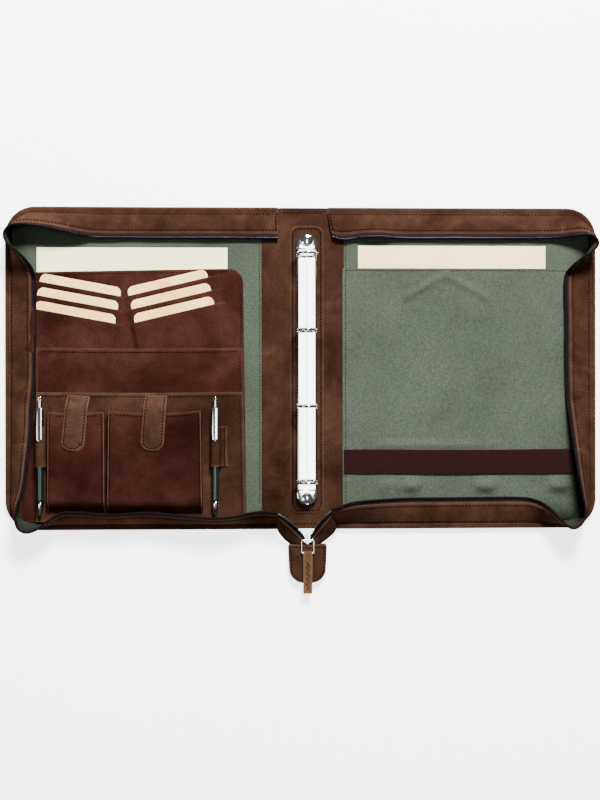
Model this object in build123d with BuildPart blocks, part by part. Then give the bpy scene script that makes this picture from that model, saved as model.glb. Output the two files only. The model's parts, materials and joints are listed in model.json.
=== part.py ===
"""A zip-round ring-binder portfolio case, lying open and flat.

Frame: millimetres, +Z up, X across the open case, +Y towards its top edge. The origin is
the middle of the spine, on the surface that the case lies on. "Left" and "right" are the
two covers as somebody reading the open case sees them.

Bodies: the spine carries the ring mechanism and the zip's closed tail. Each cover folds up
about the spine's edge, and each cover carries three gusset walls that hinge at their seam.
"""

import math
import os
from itertools import product

from build123d import *

os.makedirs("parts", exist_ok=True)

# ---------------------------------------------------------------- driving dimensions, mm
CASE_H = 340.0          # height of the covers
HALF_W = 312.5          # from the middle of the spine to a cover's outer edge
CORNER_R = 31.0         # outer corners of the covers
FOLD_X = 28.0           # fold line, from the middle of the spine
FOLD_CLEAR = 0.1        # cover leather to fold line
STACK_X = FOLD_X + 5.5  # boards and linings of the covers start here
SPINE_HALF = 25.5       # half width of the spine's board
SPINE_LEATHER_HALF = FOLD_X - 0.3

LEATHER_T = 1.2
BOARD_T = 2.4
LINING_T = 0.8
RIM_W = 3.0             # turned-over edge of the outer leather
BOARD_GAP = 0.1
BOARD_Z = LEATHER_T
LINING_Z = BOARD_Z + BOARD_T
INSIDE_Z = LINING_Z + LINING_T

FACING_X = 43.4         # the inner leather facing meets the lining here
LINING_INSET = 1.0      # linings and facings stop short of the outer edge

# gusset and zip
SEAM_INSET = 6.0        # seam line, in from the outer edge
FLANGE_W = 6.6
FLANGE_T = 1.2
WALL_T = 1.6
WALL_LEATHER = 20.8     # hinge to the leather's sewn edge
WALL_TAPE = 25.8        # hinge to the zip teeth
WALL_START = 1.2
TAPE_T = 1.0
CHAIN_W = 2.4
CHAIN_T = 2.0
HINGE_Z = INSIDE_Z + FLANGE_T + 0.3
WALL_END_GAP = 0.4
LEAN_FLAT = 14.0        # a wall folded in over the cover, degrees above flat
LEAN_LEFT_OUTER = 17.0
LEAN_LEFT_BOTTOM = 68.0  # held up by the pockets in front of it

# how far the standing corners run along each edge, past the corner's arc
TURN = {
    (-1, "top"): (35.0, 10.0),     # along the top edge, along the outer edge
    (-1, "bottom"): (10.0, 60.0),
    (1, "top"): (4.0, 12.0),
    (1, "bottom"): (25.0, 50.0),
}

# ring mechanism
MECH_X = 4.2
MECH_Y = -1.5           # middle of the patch, the channel and the two rivets
PATCH_W, PATCH_L, PATCH_R, PATCH_T = 36.0, 304.0, 9.5, 1.5
CHANNEL_W, CHANNEL_L, CHANNEL_H, CHANNEL_T = 21.4, 285.0, 5.3, 0.9
CHANNEL_Z = INSIDE_Z + PATCH_T
RING_Y = (-120.0, -40.0, 40.0, 120.0)
RING_R = 12.0
RING_WIRE = 1.6
RING_Z = CHANNEL_Z + 13.3
RING_START = -50.0      # degrees, where a ring half leaves its blade
RING_TIP = 89.2
BLADE_L, BLADE_W, BLADE_T = 250.0, 8.8, 0.9
BLADE_Z = CHANNEL_Z + 1.7
RIVET_Y = (MECH_Y - 136.0, MECH_Y + 136.0)
RIVET_R, RIVET_SHAFT, RIVET_H = 6.0, 2.0, 2.8
RIVET_BORE = RIVET_SHAFT + 0.1
RING_SLOT_W, RING_SLOT_L = 4.8, 4.4
GROOVE_W, GROOVE_DEPTH = 0.5, 0.3

# zip tail below the spine
TAIL_X = 4.8
TAIL_STRIP_Z, TAIL_STRIP_T = 4.0, 2.4
TAIL_TOP_Y, TAIL_FOOT_Y = -171.5, -185.6
TAIL_STRIPS = (         # x of a strip's two ends, at the spine and at the end patch
    ((-26.0, -8.0), (-13.0, -2.2)),
    ((11.0, 31.0), (11.8, 23.0)),
)
TAIL_TAPE_X = (1.6, 6.4)
TAIL_TAPE_Y = (-218.0, -173.0)
PATCH_TOP, PATCH_BOTTOM = -186.0, -227.0
END_PATCH_W, END_PATCH_T, END_PATCH_WALL = 41.0, 8.0, 1.5
END_PATCH_R, END_PATCH_SEAM = 15.0, 3.5
SLIDER_W, SLIDER_L = 10.0, 9.0
SLIDER_Y = -184.0       # lower end of the slider
SLIDER_PLATE = 1.9
TAPE_Z = 3.4
PULL_Z = 10.0
PULL_Y = -181.4         # the ring's bar in the slider's bail
RING_END_Y = -195.0     # the ring's bar in the leather pull
PULL_HALF = 6.25
PULL_WIRE = 0.8
BAIL_W, BAIL_L = 2.4, 7.6
TAB_W, TAB_T, TAB_END = 10.4, 3.6, -238.0
TAB_LIP = 1.9           # leather past the ring's bar

# left half: organiser
PAPER_T = 0.3
PAPER_W, PAPER_H = 200.0, 285.0
LEFT_PAPER = (-179.5, 127.3)    # middle and top edge of a sheet
RIGHT_PAPER = (158.8, 129.9)
PANEL_T = 0.8
PANEL_Z = INSIDE_Z + 0.1 + PAPER_T + 0.1
CARD_Z = PANEL_Z + PANEL_T
PANEL_OUT, PANEL_IN = -297.0, -63.0
PANEL_BOTTOM, PANEL_TOP, PANEL_R = -161.0, 105.5, 12.5
FOOT_R = 18.0           # a panel's corner under the gusset's corner
CARD_W, CARD_H, CARD_T, CARD_R = 85.6, 54.0, 0.4, 3.2
CARD_SHOWN = 9.4
SLOT_PITCH = 14.6
SLOT_STEP = 1.1
SLOT_MARGIN = 1.5
SLOT_GROUPS = {         # middle of the first slot's mouth, and its tilt in degrees
    "left": (-234.2, 83.1, -10.4),
    "right": (-141.6, 85.8, 13.3),
}
SLIP_Z = CARD_Z + 3 * SLOT_STEP + 0.2
SLIP_T = 0.8
SLIP_SEAM = 2.5
SLIP_OUT, SLIP_IN = -279.4, -64.0
SLIP_TOPS = (21.5, -25.0)
POCKET_Z = SLIP_Z + 2 * SLIP_T + 0.2
POCKET_D, POCKET_WALL, POCKET_EDGE_R = 10.0, 1.2, 2.5
SMALL_POCKET = (-266.2, -207.5, -150.0, -45.7)
LARGE_POCKET = (-203.5, -107.0, -151.0, -44.0)
FLAP_W, FLAP_T = 24.4, 1.8
FLAP_END = -86.0
FLAP_TIP_R = 9.0
SMALL_FLAP_X, LARGE_FLAP_X = -237.5, -156.0
FLAP_ROOT_Y = -28.5
FLAP_BEND = 3.5         # the flap lies flat from here, above the pockets' mouths

# pens and their loops
PEN_X = {"left": -274.3, "right": -92.0}
PEN_R, PEN_BORE, LOOP_WALL = 3.8, 4.2, 0.8
PEN_Z = POCKET_Z + LOOP_WALL + PEN_BORE
PEN_TOP, PEN_SHOULDER, PEN_TIP = -41.0, -140.0, -155.0
BUTTON_R, BUTTON_TOP, BUTTON_DEPTH = 2.3, -30.0, 8.0
LOOP_TOP, LOOP_BOTTOM = -61.0, -103.0
LOOP_EDGE_R, LOOP_SEAM_W, LOOP_SEAM_T = 3.2, 5.0, 1.6
CLIP_W, CLIP_T = 6.2, 1.0
CLIP_Z = PEN_Z + PEN_BORE + LOOP_WALL + 0.3
CLIP_END = -77.0

# right half
RIGHT_PANEL_Z = PANEL_Z
RIGHT_PANEL_TOP = 106.0
FABRIC_T = 0.6
BAND_Y, BAND_W, BAND_T = -99.1, 25.4, 0.8
BAND_LAP = 2.0          # the band runs on over the facing


def save(piece, name):
    """Labels a finished sub-part and writes it."""
    piece.part.label = name
    export_step(piece.part, f"parts/{name}.step")


def half_plan(side, inner_x, inset=0.0):
    """A cover's plan as a face: square at the spine, round at the two outer corners."""
    outer = HALF_W - inset
    top = CASE_H / 2 - inset
    radius = CORNER_R - inset
    straight = outer - radius
    with BuildSketch(Plane.XY, mode=Mode.PRIVATE) as plan:
        with BuildLine():
            Line((side * inner_x, -top), (side * straight, -top))
            RadiusArc((side * straight, -top), (side * outer, radius - top), -side * radius)
            Line((side * outer, radius - top), (side * outer, top - radius))
            RadiusArc((side * outer, top - radius), (side * straight, top), -side * radius)
            Line((side * straight, top), (side * inner_x, top))
            Line((side * inner_x, top), (side * inner_x, -top))
        make_face()
    return plan.sketch_local


def rectangle_between(x0, x1, y0, y1, mode=Mode.ADD):
    """An axis-aligned rectangle from its edges."""
    with Locations(((x0 + x1) / 2, (y0 + y1) / 2)):
        return Rectangle(abs(x1 - x0), abs(y1 - y0), mode=mode)


def side_name(side):
    return "left" if side < 0 else "right"


def rivet_places(z):
    """The middles of the mechanism's two rivets at height z."""
    return [(MECH_X, y, z) for y in RIVET_Y]


def rivet_holes():
    """Cuts the two rivet holes out of the sketch being drawn."""
    with Locations(*[(MECH_X, y) for y in RIVET_Y]):
        Circle(RIVET_BORE, mode=Mode.SUBTRACT)


# ---------------------------------------------------------------- spine
def spine_parts():
    """The spine's outer leather, its board, and the leather facing inside."""
    with BuildPart() as leather:
        with BuildSketch():
            Rectangle(2 * SPINE_LEATHER_HALF, CASE_H)
        extrude(amount=LEATHER_T)
        with BuildSketch(Plane.XY.offset(LEATHER_T)):
            for end in (-1, 1):
                with Locations((0, end * (CASE_H - RIM_W) / 2)):
                    Rectangle(2 * SPINE_HALF, RIM_W)
        extrude(amount=BOARD_T)
    save(leather, "spine_leather")

    with BuildPart() as board:
        with BuildSketch(Plane.XY.offset(BOARD_Z)):
            Rectangle(2 * SPINE_HALF, CASE_H - 2 * (RIM_W + BOARD_GAP))
            rivet_holes()
        extrude(amount=BOARD_T)
    save(board, "spine_board")

    with BuildPart() as facing:
        with BuildSketch(Plane.XY.offset(LINING_Z)):
            Rectangle(2 * SPINE_HALF, CASE_H - 2 * LINING_INSET)
            rivet_holes()
        extrude(amount=LINING_T)
    save(facing, "spine_facing")


# ---------------------------------------------------------------- ring mechanism
def mechanism_parts():
    """The leather patch, the chromed channel and its two domed rivets."""
    with BuildPart() as patch:
        with BuildSketch(Plane.XY.offset(INSIDE_Z)):
            with Locations((MECH_X, MECH_Y)):
                RectangleRounded(PATCH_W, PATCH_L, PATCH_R)
            rivet_holes()
        extrude(amount=PATCH_T)
    save(patch, "mechanism_patch")

    end_r = CHANNEL_W / 2 - 1
    inner_r = end_r - CHANNEL_T
    with BuildPart() as channel:
        with BuildSketch(Plane.XY.offset(CHANNEL_Z)):
            with Locations((MECH_X, MECH_Y)):
                RectangleRounded(CHANNEL_W, CHANNEL_L, end_r)
        extrude(amount=CHANNEL_H)
        fillet(channel.faces().sort_by(Axis.Z)[-1].edges(), 2.2)
        with BuildSketch(Plane.XY.offset(CHANNEL_Z)):
            with Locations((MECH_X, MECH_Y)):
                RectangleRounded(
                    CHANNEL_W - 2 * CHANNEL_T, CHANNEL_L - 2 * CHANNEL_T, inner_r
                )
        extrude(amount=CHANNEL_H - CHANNEL_T, mode=Mode.SUBTRACT)
        slot_x = RING_R * math.cos(math.radians(RING_START))
        with Locations(
            *[
                (MECH_X + hand * (slot_x + 0.35), y, CHANNEL_Z + CHANNEL_H)
                for hand, y in product((-1, 1), RING_Y)
            ]
        ):
            Box(RING_SLOT_W, RING_SLOT_L, 4 * CHANNEL_T, mode=Mode.SUBTRACT)
        with Locations((MECH_X, MECH_Y, CHANNEL_Z + CHANNEL_H)):
            Box(GROOVE_W, CHANNEL_L - 30, 2 * GROOVE_DEPTH, mode=Mode.SUBTRACT)
        with Locations(*rivet_places(CHANNEL_Z)):
            Cylinder(RIVET_BORE, 3 * CHANNEL_H, mode=Mode.SUBTRACT)
    save(channel, "mechanism_channel")

    with BuildPart() as rivets:
        head_z = CHANNEL_Z + CHANNEL_H
        with Locations(*rivet_places(head_z)):
            Cylinder(RIVET_R, RIVET_H, align=(Align.CENTER, Align.CENTER, Align.MIN))
        crowns = rivets.edges().filter_by(GeomType.CIRCLE).group_by(Axis.Z)[-1]
        fillet(crowns, RIVET_H - 0.3)
        with Locations(*rivet_places(LEATHER_T)):
            Cylinder(
                RIVET_SHAFT,
                head_z - LEATHER_T,
                align=(Align.CENTER, Align.CENTER, Align.MIN),
            )
    save(rivets, "mechanism_rivets")


def ring_parts(hand):
    """One hinged blade inside the channel, and the four ring halves riveted to it."""
    with BuildPart() as blade:
        with Locations((MECH_X + hand * (0.3 + BLADE_W / 2), 0, BLADE_Z)):
            Box(BLADE_W, BLADE_L, BLADE_T)
    save(blade, f"{side_name(hand)}_ring_blade")

    start = math.radians(RING_START)
    foot_x = RING_R * math.cos(start)
    foot_z = RING_Z + RING_R * math.sin(start)
    with BuildPart() as halves:
        for y in RING_Y:
            upright = Plane(origin=(MECH_X, y, 0), x_dir=(hand, 0, 0), z_dir=(0, -hand, 0))
            with BuildLine(upright) as hoop:
                CenterArc((0, RING_Z), RING_R, RING_START, RING_TIP - RING_START)
            with BuildSketch(Plane(origin=hoop.line @ 0, z_dir=hoop.line % 0)):
                Circle(RING_WIRE)
            sweep(path=hoop.line)
            post_h = foot_z - BLADE_Z - BLADE_T / 2 - 0.05 + 0.6
            with Locations((MECH_X + hand * foot_x, y, BLADE_Z + BLADE_T / 2 + 0.05)):
                Cylinder(RING_WIRE, post_h, align=(Align.CENTER, Align.CENTER, Align.MIN))
    save(halves, f"{side_name(hand)}_ring_halves")


# ---------------------------------------------------------------- covers
def cover_parts(side):
    """A cover's outer leather with its turned edge, board, lining and leather margin."""
    name = side_name(side)
    with BuildPart() as leather:
        with BuildSketch():
            add(half_plan(side, FOLD_X + FOLD_CLEAR))
        extrude(amount=LEATHER_T)
        with BuildSketch(Plane.XY.offset(LEATHER_T)):
            add(half_plan(side, STACK_X))
            add(half_plan(side, STACK_X - 1, RIM_W), mode=Mode.SUBTRACT)
        extrude(amount=BOARD_T)
    save(leather, f"{name}_cover_leather")

    with BuildPart() as board:
        with BuildSketch(Plane.XY.offset(BOARD_Z)):
            add(half_plan(side, STACK_X, RIM_W + BOARD_GAP))
        extrude(amount=BOARD_T)
    save(board, f"{name}_cover_board")

    with BuildPart() as lining:
        with BuildSketch(Plane.XY.offset(LINING_Z)):
            add(half_plan(side, FACING_X + 0.1, LINING_INSET))
        extrude(amount=LINING_T)
    save(lining, f"{name}_lining")

    with BuildPart() as margin:
        with BuildSketch(Plane.XY.offset(LINING_Z)):
            edge_y = CASE_H / 2 - LINING_INSET
            rectangle_between(side * STACK_X, side * FACING_X, -edge_y, edge_y)
        extrude(amount=LINING_T)
    save(margin, f"{name}_facing_margin")


# ---------------------------------------------------------------- gussets
def corner_window(side, edge):
    """The plan area in which a gusset corner stands upright."""
    along_x, along_y = TURN[side, edge]
    sign = 1 if edge == "top" else -1
    rectangle_between(
        side * (HALF_W - CORNER_R - along_x),
        side * (HALF_W + 1),
        sign * (CASE_H / 2 - CORNER_R - along_y),
        sign * (CASE_H / 2 + 1),
        mode=Mode.INTERSECT,
    )


def standing_corners(side, half_t, z, height):
    """Upright strips on the seam line round both outer corners of a cover."""
    for edge in ("top", "bottom"):
        with BuildSketch(Plane.XY.offset(z)) as strip:
            add(half_plan(side, STACK_X, SEAM_INSET - half_t))
            add(half_plan(side, STACK_X - 1, SEAM_INSET + half_t), mode=Mode.SUBTRACT)
            corner_window(side, edge)
        extrude(strip.sketch, amount=height)


def gusset_border(side):
    """The sewn flange all round a cover, with the leather of its two standing corners."""
    name = side_name(side)
    flange_top = INSIDE_Z + FLANGE_T
    with BuildPart() as border:
        with BuildSketch(Plane.XY.offset(INSIDE_Z)):
            add(half_plan(side, STACK_X))
            add(half_plan(side, STACK_X - 1, FLANGE_W), mode=Mode.SUBTRACT)
        extrude(amount=FLANGE_T)
        standing_corners(side, WALL_T / 2, flange_top, HINGE_Z + WALL_LEATHER - flange_top)
    save(border, f"{name}_gusset_border")

    tape_z = HINGE_Z + WALL_LEATHER + 0.1
    chain_z = HINGE_Z + WALL_TAPE - CHAIN_W
    with BuildPart() as tapes:
        standing_corners(side, TAPE_T / 2, tape_z, chain_z - tape_z)
        standing_corners(side, CHAIN_T / 2, chain_z, CHAIN_W)
    save(tapes, f"{name}_corner_zips")


def wall_place(side, edge):
    """A wall's hinge line: middle point, half length, direction along, direction inwards."""
    top_turn, bottom_turn = TURN[side, "top"], TURN[side, "bottom"]
    if edge == "outer":
        top = CASE_H / 2 - CORNER_R - top_turn[1] - WALL_END_GAP
        bottom = -CASE_H / 2 + CORNER_R + bottom_turn[1] + WALL_END_GAP
        middle = Vector(side * (HALF_W - SEAM_INSET), (top + bottom) / 2, HINGE_Z)
        return middle, (top - bottom) / 2, Vector(0, 1, 0), Vector(-side, 0, 0)
    turn = top_turn[0] if edge == "top" else bottom_turn[0]
    sign = 1 if edge == "top" else -1
    near, far = STACK_X, HALF_W - CORNER_R - turn - WALL_END_GAP
    middle = Vector(side * (near + far) / 2, sign * (CASE_H / 2 - SEAM_INSET), HINGE_Z)
    return middle, (far - near) / 2, Vector(1, 0, 0), Vector(0, -sign, 0)


def wall_lean(side, edge):
    """Degrees above flat at which a gusset wall rests."""
    if side < 0 and edge == "bottom":
        return LEAN_LEFT_BOTTOM
    return LEAN_LEFT_OUTER if side < 0 and edge == "outer" else LEAN_FLAT


def gusset_wall(side, edge):
    """A leather gusset wall, and the zip tape with its row of teeth, in their folded place."""
    middle, half, along, inward = wall_place(side, edge)
    lean = math.radians(wall_lean(side, edge))
    up = inward * math.cos(lean) + Vector(0, 0, 1) * math.sin(lean)
    sheet = Plane(origin=middle, x_dir=along, z_dir=along.cross(up))
    name = f"{side_name(side)}_{edge}"
    with BuildPart(sheet) as leather:
        with Locations((0, (WALL_START + WALL_LEATHER) / 2, 0)):
            Box(2 * half, WALL_LEATHER - WALL_START, WALL_T)
    save(leather, f"{name}_gusset")

    tape_start = WALL_LEATHER + 0.1
    with BuildPart(sheet) as tape:
        with Locations((0, (tape_start + WALL_TAPE) / 2, 0)):
            Box(2 * half, WALL_TAPE - tape_start, TAPE_T)
        with Locations((0, WALL_TAPE - CHAIN_W / 2, 0)):
            Box(2 * half, CHAIN_W, CHAIN_T)
    save(tape, f"{name}_zip")


# ---------------------------------------------------------------- zip tail
def tail_parts():
    """Gusset ends that leave the case, the closed zip's tapes, and the end patch."""
    with BuildPart() as strips:
        with BuildSketch(Plane.XY.offset(TAIL_STRIP_Z)):
            for (top_0, top_1), (foot_0, foot_1) in TAIL_STRIPS:
                with BuildLine():
                    Polyline(
                        (top_0, TAIL_TOP_Y),
                        (top_1, TAIL_TOP_Y),
                        (foot_1, TAIL_FOOT_Y),
                        (foot_0, TAIL_FOOT_Y),
                        close=True,
                    )
                make_face()
        extrude(amount=TAIL_STRIP_T)
    save(strips, "tail_strips")

    with BuildPart() as tapes:
        with BuildSketch(Plane.XY.offset(TAPE_Z)):
            for hand in (-1, 1):
                near, far = [TAIL_X + hand * x for x in TAIL_TAPE_X]
                rectangle_between(near, far, *TAIL_TAPE_Y)
        extrude(amount=TAPE_T - 0.5)
    save(tapes, "tail_zip_tapes")

    middle_y = (PATCH_TOP + PATCH_BOTTOM) / 2
    length = PATCH_TOP - PATCH_BOTTOM
    with BuildPart() as patch:
        with BuildSketch() as plan:
            with Locations((TAIL_X, middle_y)):
                Rectangle(END_PATCH_W, length)
            fillet(plan.vertices().group_by(Axis.Y)[0], END_PATCH_R)
            fillet(plan.vertices().group_by(Axis.Y)[-1], 1.5)
        extrude(amount=END_PATCH_T)
        with BuildSketch(Plane.XY.offset(END_PATCH_WALL)) as inside:
            with Locations((TAIL_X, middle_y + END_PATCH_SEAM / 2 + 0.25)):
                Rectangle(END_PATCH_W - 2 * END_PATCH_SEAM, length - END_PATCH_SEAM + 0.5)
            fillet(inside.vertices().group_by(Axis.Y)[0], END_PATCH_R - END_PATCH_SEAM)
        extrude(amount=END_PATCH_T - 2 * END_PATCH_WALL, mode=Mode.SUBTRACT)
    save(patch, "end_patch")


def pull_parts():
    """The slider with its bail, the pull ring, and the folded leather pull."""
    slider_mid = SLIDER_Y + SLIDER_L / 2
    gap_low, gap_high = TAPE_Z - 0.4, TAPE_Z + TAPE_T + 0.1
    bail_top = PULL_Z + 1.8
    with BuildPart() as slider:
        for z in (gap_low - SLIDER_PLATE / 2, gap_high + SLIDER_PLATE / 2):
            with Locations((TAIL_X, slider_mid, z)):
                Box(SLIDER_W, SLIDER_L, SLIDER_PLATE)
        fillet(slider.edges().filter_by(Axis.Z), 2.5)
        with Locations((TAIL_X, slider_mid, (gap_low + gap_high) / 2)):
            Box(BAIL_W, SLIDER_L - 3, gap_high - gap_low)
        with Locations((TAIL_X, slider_mid, (gap_high + SLIDER_PLATE + bail_top) / 2)):
            Box(BAIL_W, BAIL_L, bail_top - gap_high - SLIDER_PLATE)
        with Locations(Location((TAIL_X, PULL_Y, PULL_Z), (0, 90, 0))):
            Cylinder(PULL_WIRE + 0.35, 10, mode=Mode.SUBTRACT)
    save(slider, "zip_slider")

    ring_mid = (PULL_Y + RING_END_Y) / 2
    path = Wire.make_rect(
        2 * PULL_HALF,
        PULL_Y - RING_END_Y,
        Plane(origin=(TAIL_X, ring_mid, PULL_Z)),
    )
    path = path.fillet_2d(1.0, path.vertices())
    with BuildPart() as ring:
        with BuildSketch(Plane(origin=path @ 0, z_dir=path % 0)):
            Circle(PULL_WIRE)
        sweep(path=path)
    save(ring, "pull_ring")

    with BuildPart() as tab:
        with BuildSketch(Plane.XY.offset(PULL_Z - TAB_T / 2)) as plan:
            rectangle_between(TAIL_X - TAB_W / 2, TAIL_X + TAB_W / 2, TAB_END, RING_END_Y + TAB_LIP)
            fillet(plan.vertices().group_by(Axis.Y)[0], 1.5)
        extrude(amount=TAB_T)
        fillet(tab.edges().filter_by(Axis.X).group_by(Axis.Y)[-1], TAB_T / 2 - 0.05)
        with Locations(Location((TAIL_X, RING_END_Y, PULL_Z), (0, 90, 0))):
            Cylinder(PULL_WIRE + 0.3, 20, mode=Mode.SUBTRACT)
    save(tab, "pull_tab")


# ---------------------------------------------------------------- organiser, left half
def organiser_panel():
    """The leather back panel, round at its free top corner."""
    with BuildPart() as panel:
        with BuildSketch(Plane.XY.offset(PANEL_Z)) as plan:
            rectangle_between(PANEL_OUT, PANEL_IN, PANEL_BOTTOM, PANEL_TOP)
            fillet(plan.vertices().group_by(Axis.X)[-1].group_by(Axis.Y)[-1], PANEL_R)
            fillet(plan.vertices().group_by(Axis.X)[0].group_by(Axis.Y)[0], FOOT_R)
        extrude(amount=PANEL_T)
    save(panel, "organiser_panel")


def slot_plane(group):
    """Local frame of a card group: x along the cards, y the way they slide out."""
    x, y, tilt = SLOT_GROUPS[group]
    turn = math.radians(tilt)
    along = (math.cos(turn), math.sin(turn), 0)
    return Plane(origin=(x, y, CARD_Z), x_dir=along, z_dir=(0, 0, 1))


def card_slots():
    """Two stepped sets of three leather slots, each slot a roof over its card."""
    hidden = CARD_H - CARD_SHOWN
    bottom = -2 * SLOT_PITCH - hidden - SLOT_MARGIN
    half = CARD_W / 2 + SLOT_MARGIN
    with BuildPart() as slots:
        for group in SLOT_GROUPS:
            base = slot_plane(group)
            for step in range(3):
                mouth = -step * SLOT_PITCH
                with BuildSketch(base.offset(step * SLOT_STEP)):
                    rectangle_between(-half, half, bottom, mouth)
                extrude(amount=SLOT_STEP)
            for step in range(3):
                mouth = -step * SLOT_PITCH
                with BuildSketch(base.offset(step * SLOT_STEP)):
                    rectangle_between(
                        -CARD_W / 2 - 0.4, CARD_W / 2 + 0.4, mouth - hidden - 0.4, mouth + 1
                    )
                extrude(amount=CARD_T + 0.2, mode=Mode.SUBTRACT)
    save(slots, "card_slots")


def slot_cards(group):
    """The three cards of one group, each on its own step."""
    base = slot_plane(group)
    with BuildPart() as cards:
        for step in range(3):
            middle = -step * SLOT_PITCH + CARD_SHOWN - CARD_H / 2
            with BuildSketch(base.offset(step * SLOT_STEP + 0.1)):
                with Locations((0, middle)):
                    RectangleRounded(CARD_W, CARD_H, CARD_R)
            extrude(amount=CARD_T)
    save(cards, f"{group}_slot_cards")


def slip_pockets():
    """Two flat pockets, one in front of the other, open at the top and sewn on three sides."""
    with BuildPart() as pockets:
        for layer, top in enumerate(SLIP_TOPS):
            z = SLIP_Z + layer * (SLIP_T + 0.1)
            with BuildSketch(Plane.XY.offset(z)):
                rectangle_between(SLIP_OUT, SLIP_IN, PANEL_BOTTOM, top)
            extrude(amount=SLIP_T)
        with BuildSketch(Plane.XY.offset(CARD_Z)):
            rectangle_between(SLIP_OUT, SLIP_IN, PANEL_BOTTOM, -2)
            rectangle_between(
                SLIP_OUT + SLIP_SEAM,
                SLIP_IN - SLIP_SEAM,
                PANEL_BOTTOM + SLIP_SEAM,
                -1,
                mode=Mode.SUBTRACT,
            )
        extrude(amount=SLIP_Z - CARD_Z)
    save(pockets, "slip_pockets")


def box_pocket(name, edges):
    """A gusseted pocket: a shell that is open at the top."""
    x0, x1, y0, y1 = edges
    with BuildPart() as pocket:
        with BuildSketch(Plane.XY.offset(POCKET_Z)):
            rectangle_between(x0, x1, y0, y1)
        extrude(amount=POCKET_D)
        fillet(pocket.faces().sort_by(Axis.Z)[-1].edges().filter_by(Axis.Y), POCKET_EDGE_R)
        with BuildSketch(Plane.XY.offset(POCKET_Z + POCKET_WALL)):
            rectangle_between(x0 + POCKET_WALL, x1 - POCKET_WALL, y0 + POCKET_WALL, y1 + 1)
        extrude(amount=POCKET_D - 2 * POCKET_WALL, mode=Mode.SUBTRACT)
    save(pocket, name)


def pocket_flap(name, x):
    """A leather tongue from the slip pocket, over the pocket's mouth and down its front."""
    low, high = POCKET_Z + 0.7, POCKET_Z + POCKET_D + 0.3
    top = (SMALL_POCKET[3] + LARGE_POCKET[3]) / 2 + FLAP_BEND
    with BuildPart() as flap:
        with BuildSketch(Plane.YZ.offset(x - FLAP_W / 2)):
            with BuildLine():
                Polyline(
                    (FLAP_ROOT_Y, low),
                    (FLAP_ROOT_Y, low + FLAP_T),
                    (top, high + FLAP_T),
                    (FLAP_END, high + FLAP_T),
                    (FLAP_END, high),
                    (top - 0.4, high),
                    (FLAP_ROOT_Y - 1.2, low),
                    close=True,
                )
            make_face()
        extrude(amount=FLAP_W)
        fillet(flap.edges().filter_by(Axis.Z).group_by(Axis.Y)[0], FLAP_TIP_R)
    save(flap, name)


def pen_loops():
    """The two leather loops that hold the pens."""
    top = PEN_Z + PEN_BORE + LOOP_WALL
    length = LOOP_TOP - LOOP_BOTTOM
    wide = PEN_BORE + LOOP_WALL + 0.6
    with BuildPart() as loops:
        for pen, x in PEN_X.items():
            with BuildSketch(Plane.XZ.offset(-LOOP_TOP)) as end:
                rectangle_between(x - wide, x + wide, POCKET_Z, top)
                fillet(end.vertices().group_by(Axis.Y)[-1], LOOP_EDGE_R)
                if pen == "right":
                    rectangle_between(x, x + wide + LOOP_SEAM_W, POCKET_Z, POCKET_Z + LOOP_SEAM_T)
                with Locations((x, PEN_Z)):
                    Circle(PEN_BORE, mode=Mode.SUBTRACT)
            extrude(end.sketch, amount=length)
    save(loops, "pen_loops")


def pen_parts(pen):
    """A click pen: painted barrel, metal tip and clip, and the push button."""
    x = PEN_X[pen]
    along = Plane.XZ.offset(-PEN_TOP)
    with BuildPart() as barrel:
        with BuildSketch(along):
            with Locations((x, PEN_Z)):
                Circle(PEN_R)
        extrude(amount=PEN_TOP - PEN_SHOULDER)
        with BuildSketch(along):
            with Locations((x, PEN_Z)):
                Circle(BUTTON_R + 0.2)
        extrude(amount=BUTTON_DEPTH + 4, mode=Mode.SUBTRACT)
    save(barrel, f"{pen}_pen_barrel")

    with BuildPart() as metal:
        with BuildSketch(Plane.XZ.offset(-PEN_SHOULDER + 0.05)):
            with Locations((x, PEN_Z)):
                Circle(PEN_R)
        with BuildSketch(Plane.XZ.offset(-PEN_TIP)):
            with Locations((x, PEN_Z)):
                Circle(1.0)
        loft()
        root = PEN_TOP - 5
        with BuildSketch(Plane.YZ.offset(x - CLIP_W / 2)):
            with BuildLine():
                Polyline(
                    (PEN_TOP, PEN_Z + PEN_R + 0.1),
                    (PEN_TOP, CLIP_Z + CLIP_T),
                    (CLIP_END, CLIP_Z + CLIP_T),
                    (CLIP_END, CLIP_Z),
                    (root, CLIP_Z),
                    (root, PEN_Z + PEN_R + 0.1),
                    close=True,
                )
            make_face()
        extrude(amount=CLIP_W)
        fillet(metal.edges().filter_by(Axis.Z).group_by(Axis.Y)[1], 2.9)
    save(metal, f"{pen}_pen_metal")

    with BuildPart() as button:
        with BuildSketch(Plane.XZ.offset(-BUTTON_TOP)):
            with Locations((x, PEN_Z)):
                Circle(BUTTON_R)
        extrude(amount=BUTTON_TOP - PEN_TOP + BUTTON_DEPTH)
    save(button, f"{pen}_pen_button")


def sheet_of_paper(name, x, top):
    """A sheet in the slip pocket behind a panel."""
    with BuildPart() as paper:
        with BuildSketch(Plane.XY.offset(INSIDE_Z + 0.1)):
            rectangle_between(x - PAPER_W / 2, x + PAPER_W / 2, top - PAPER_H, top)
        extrude(amount=PAPER_T)
    save(paper, name)


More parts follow.
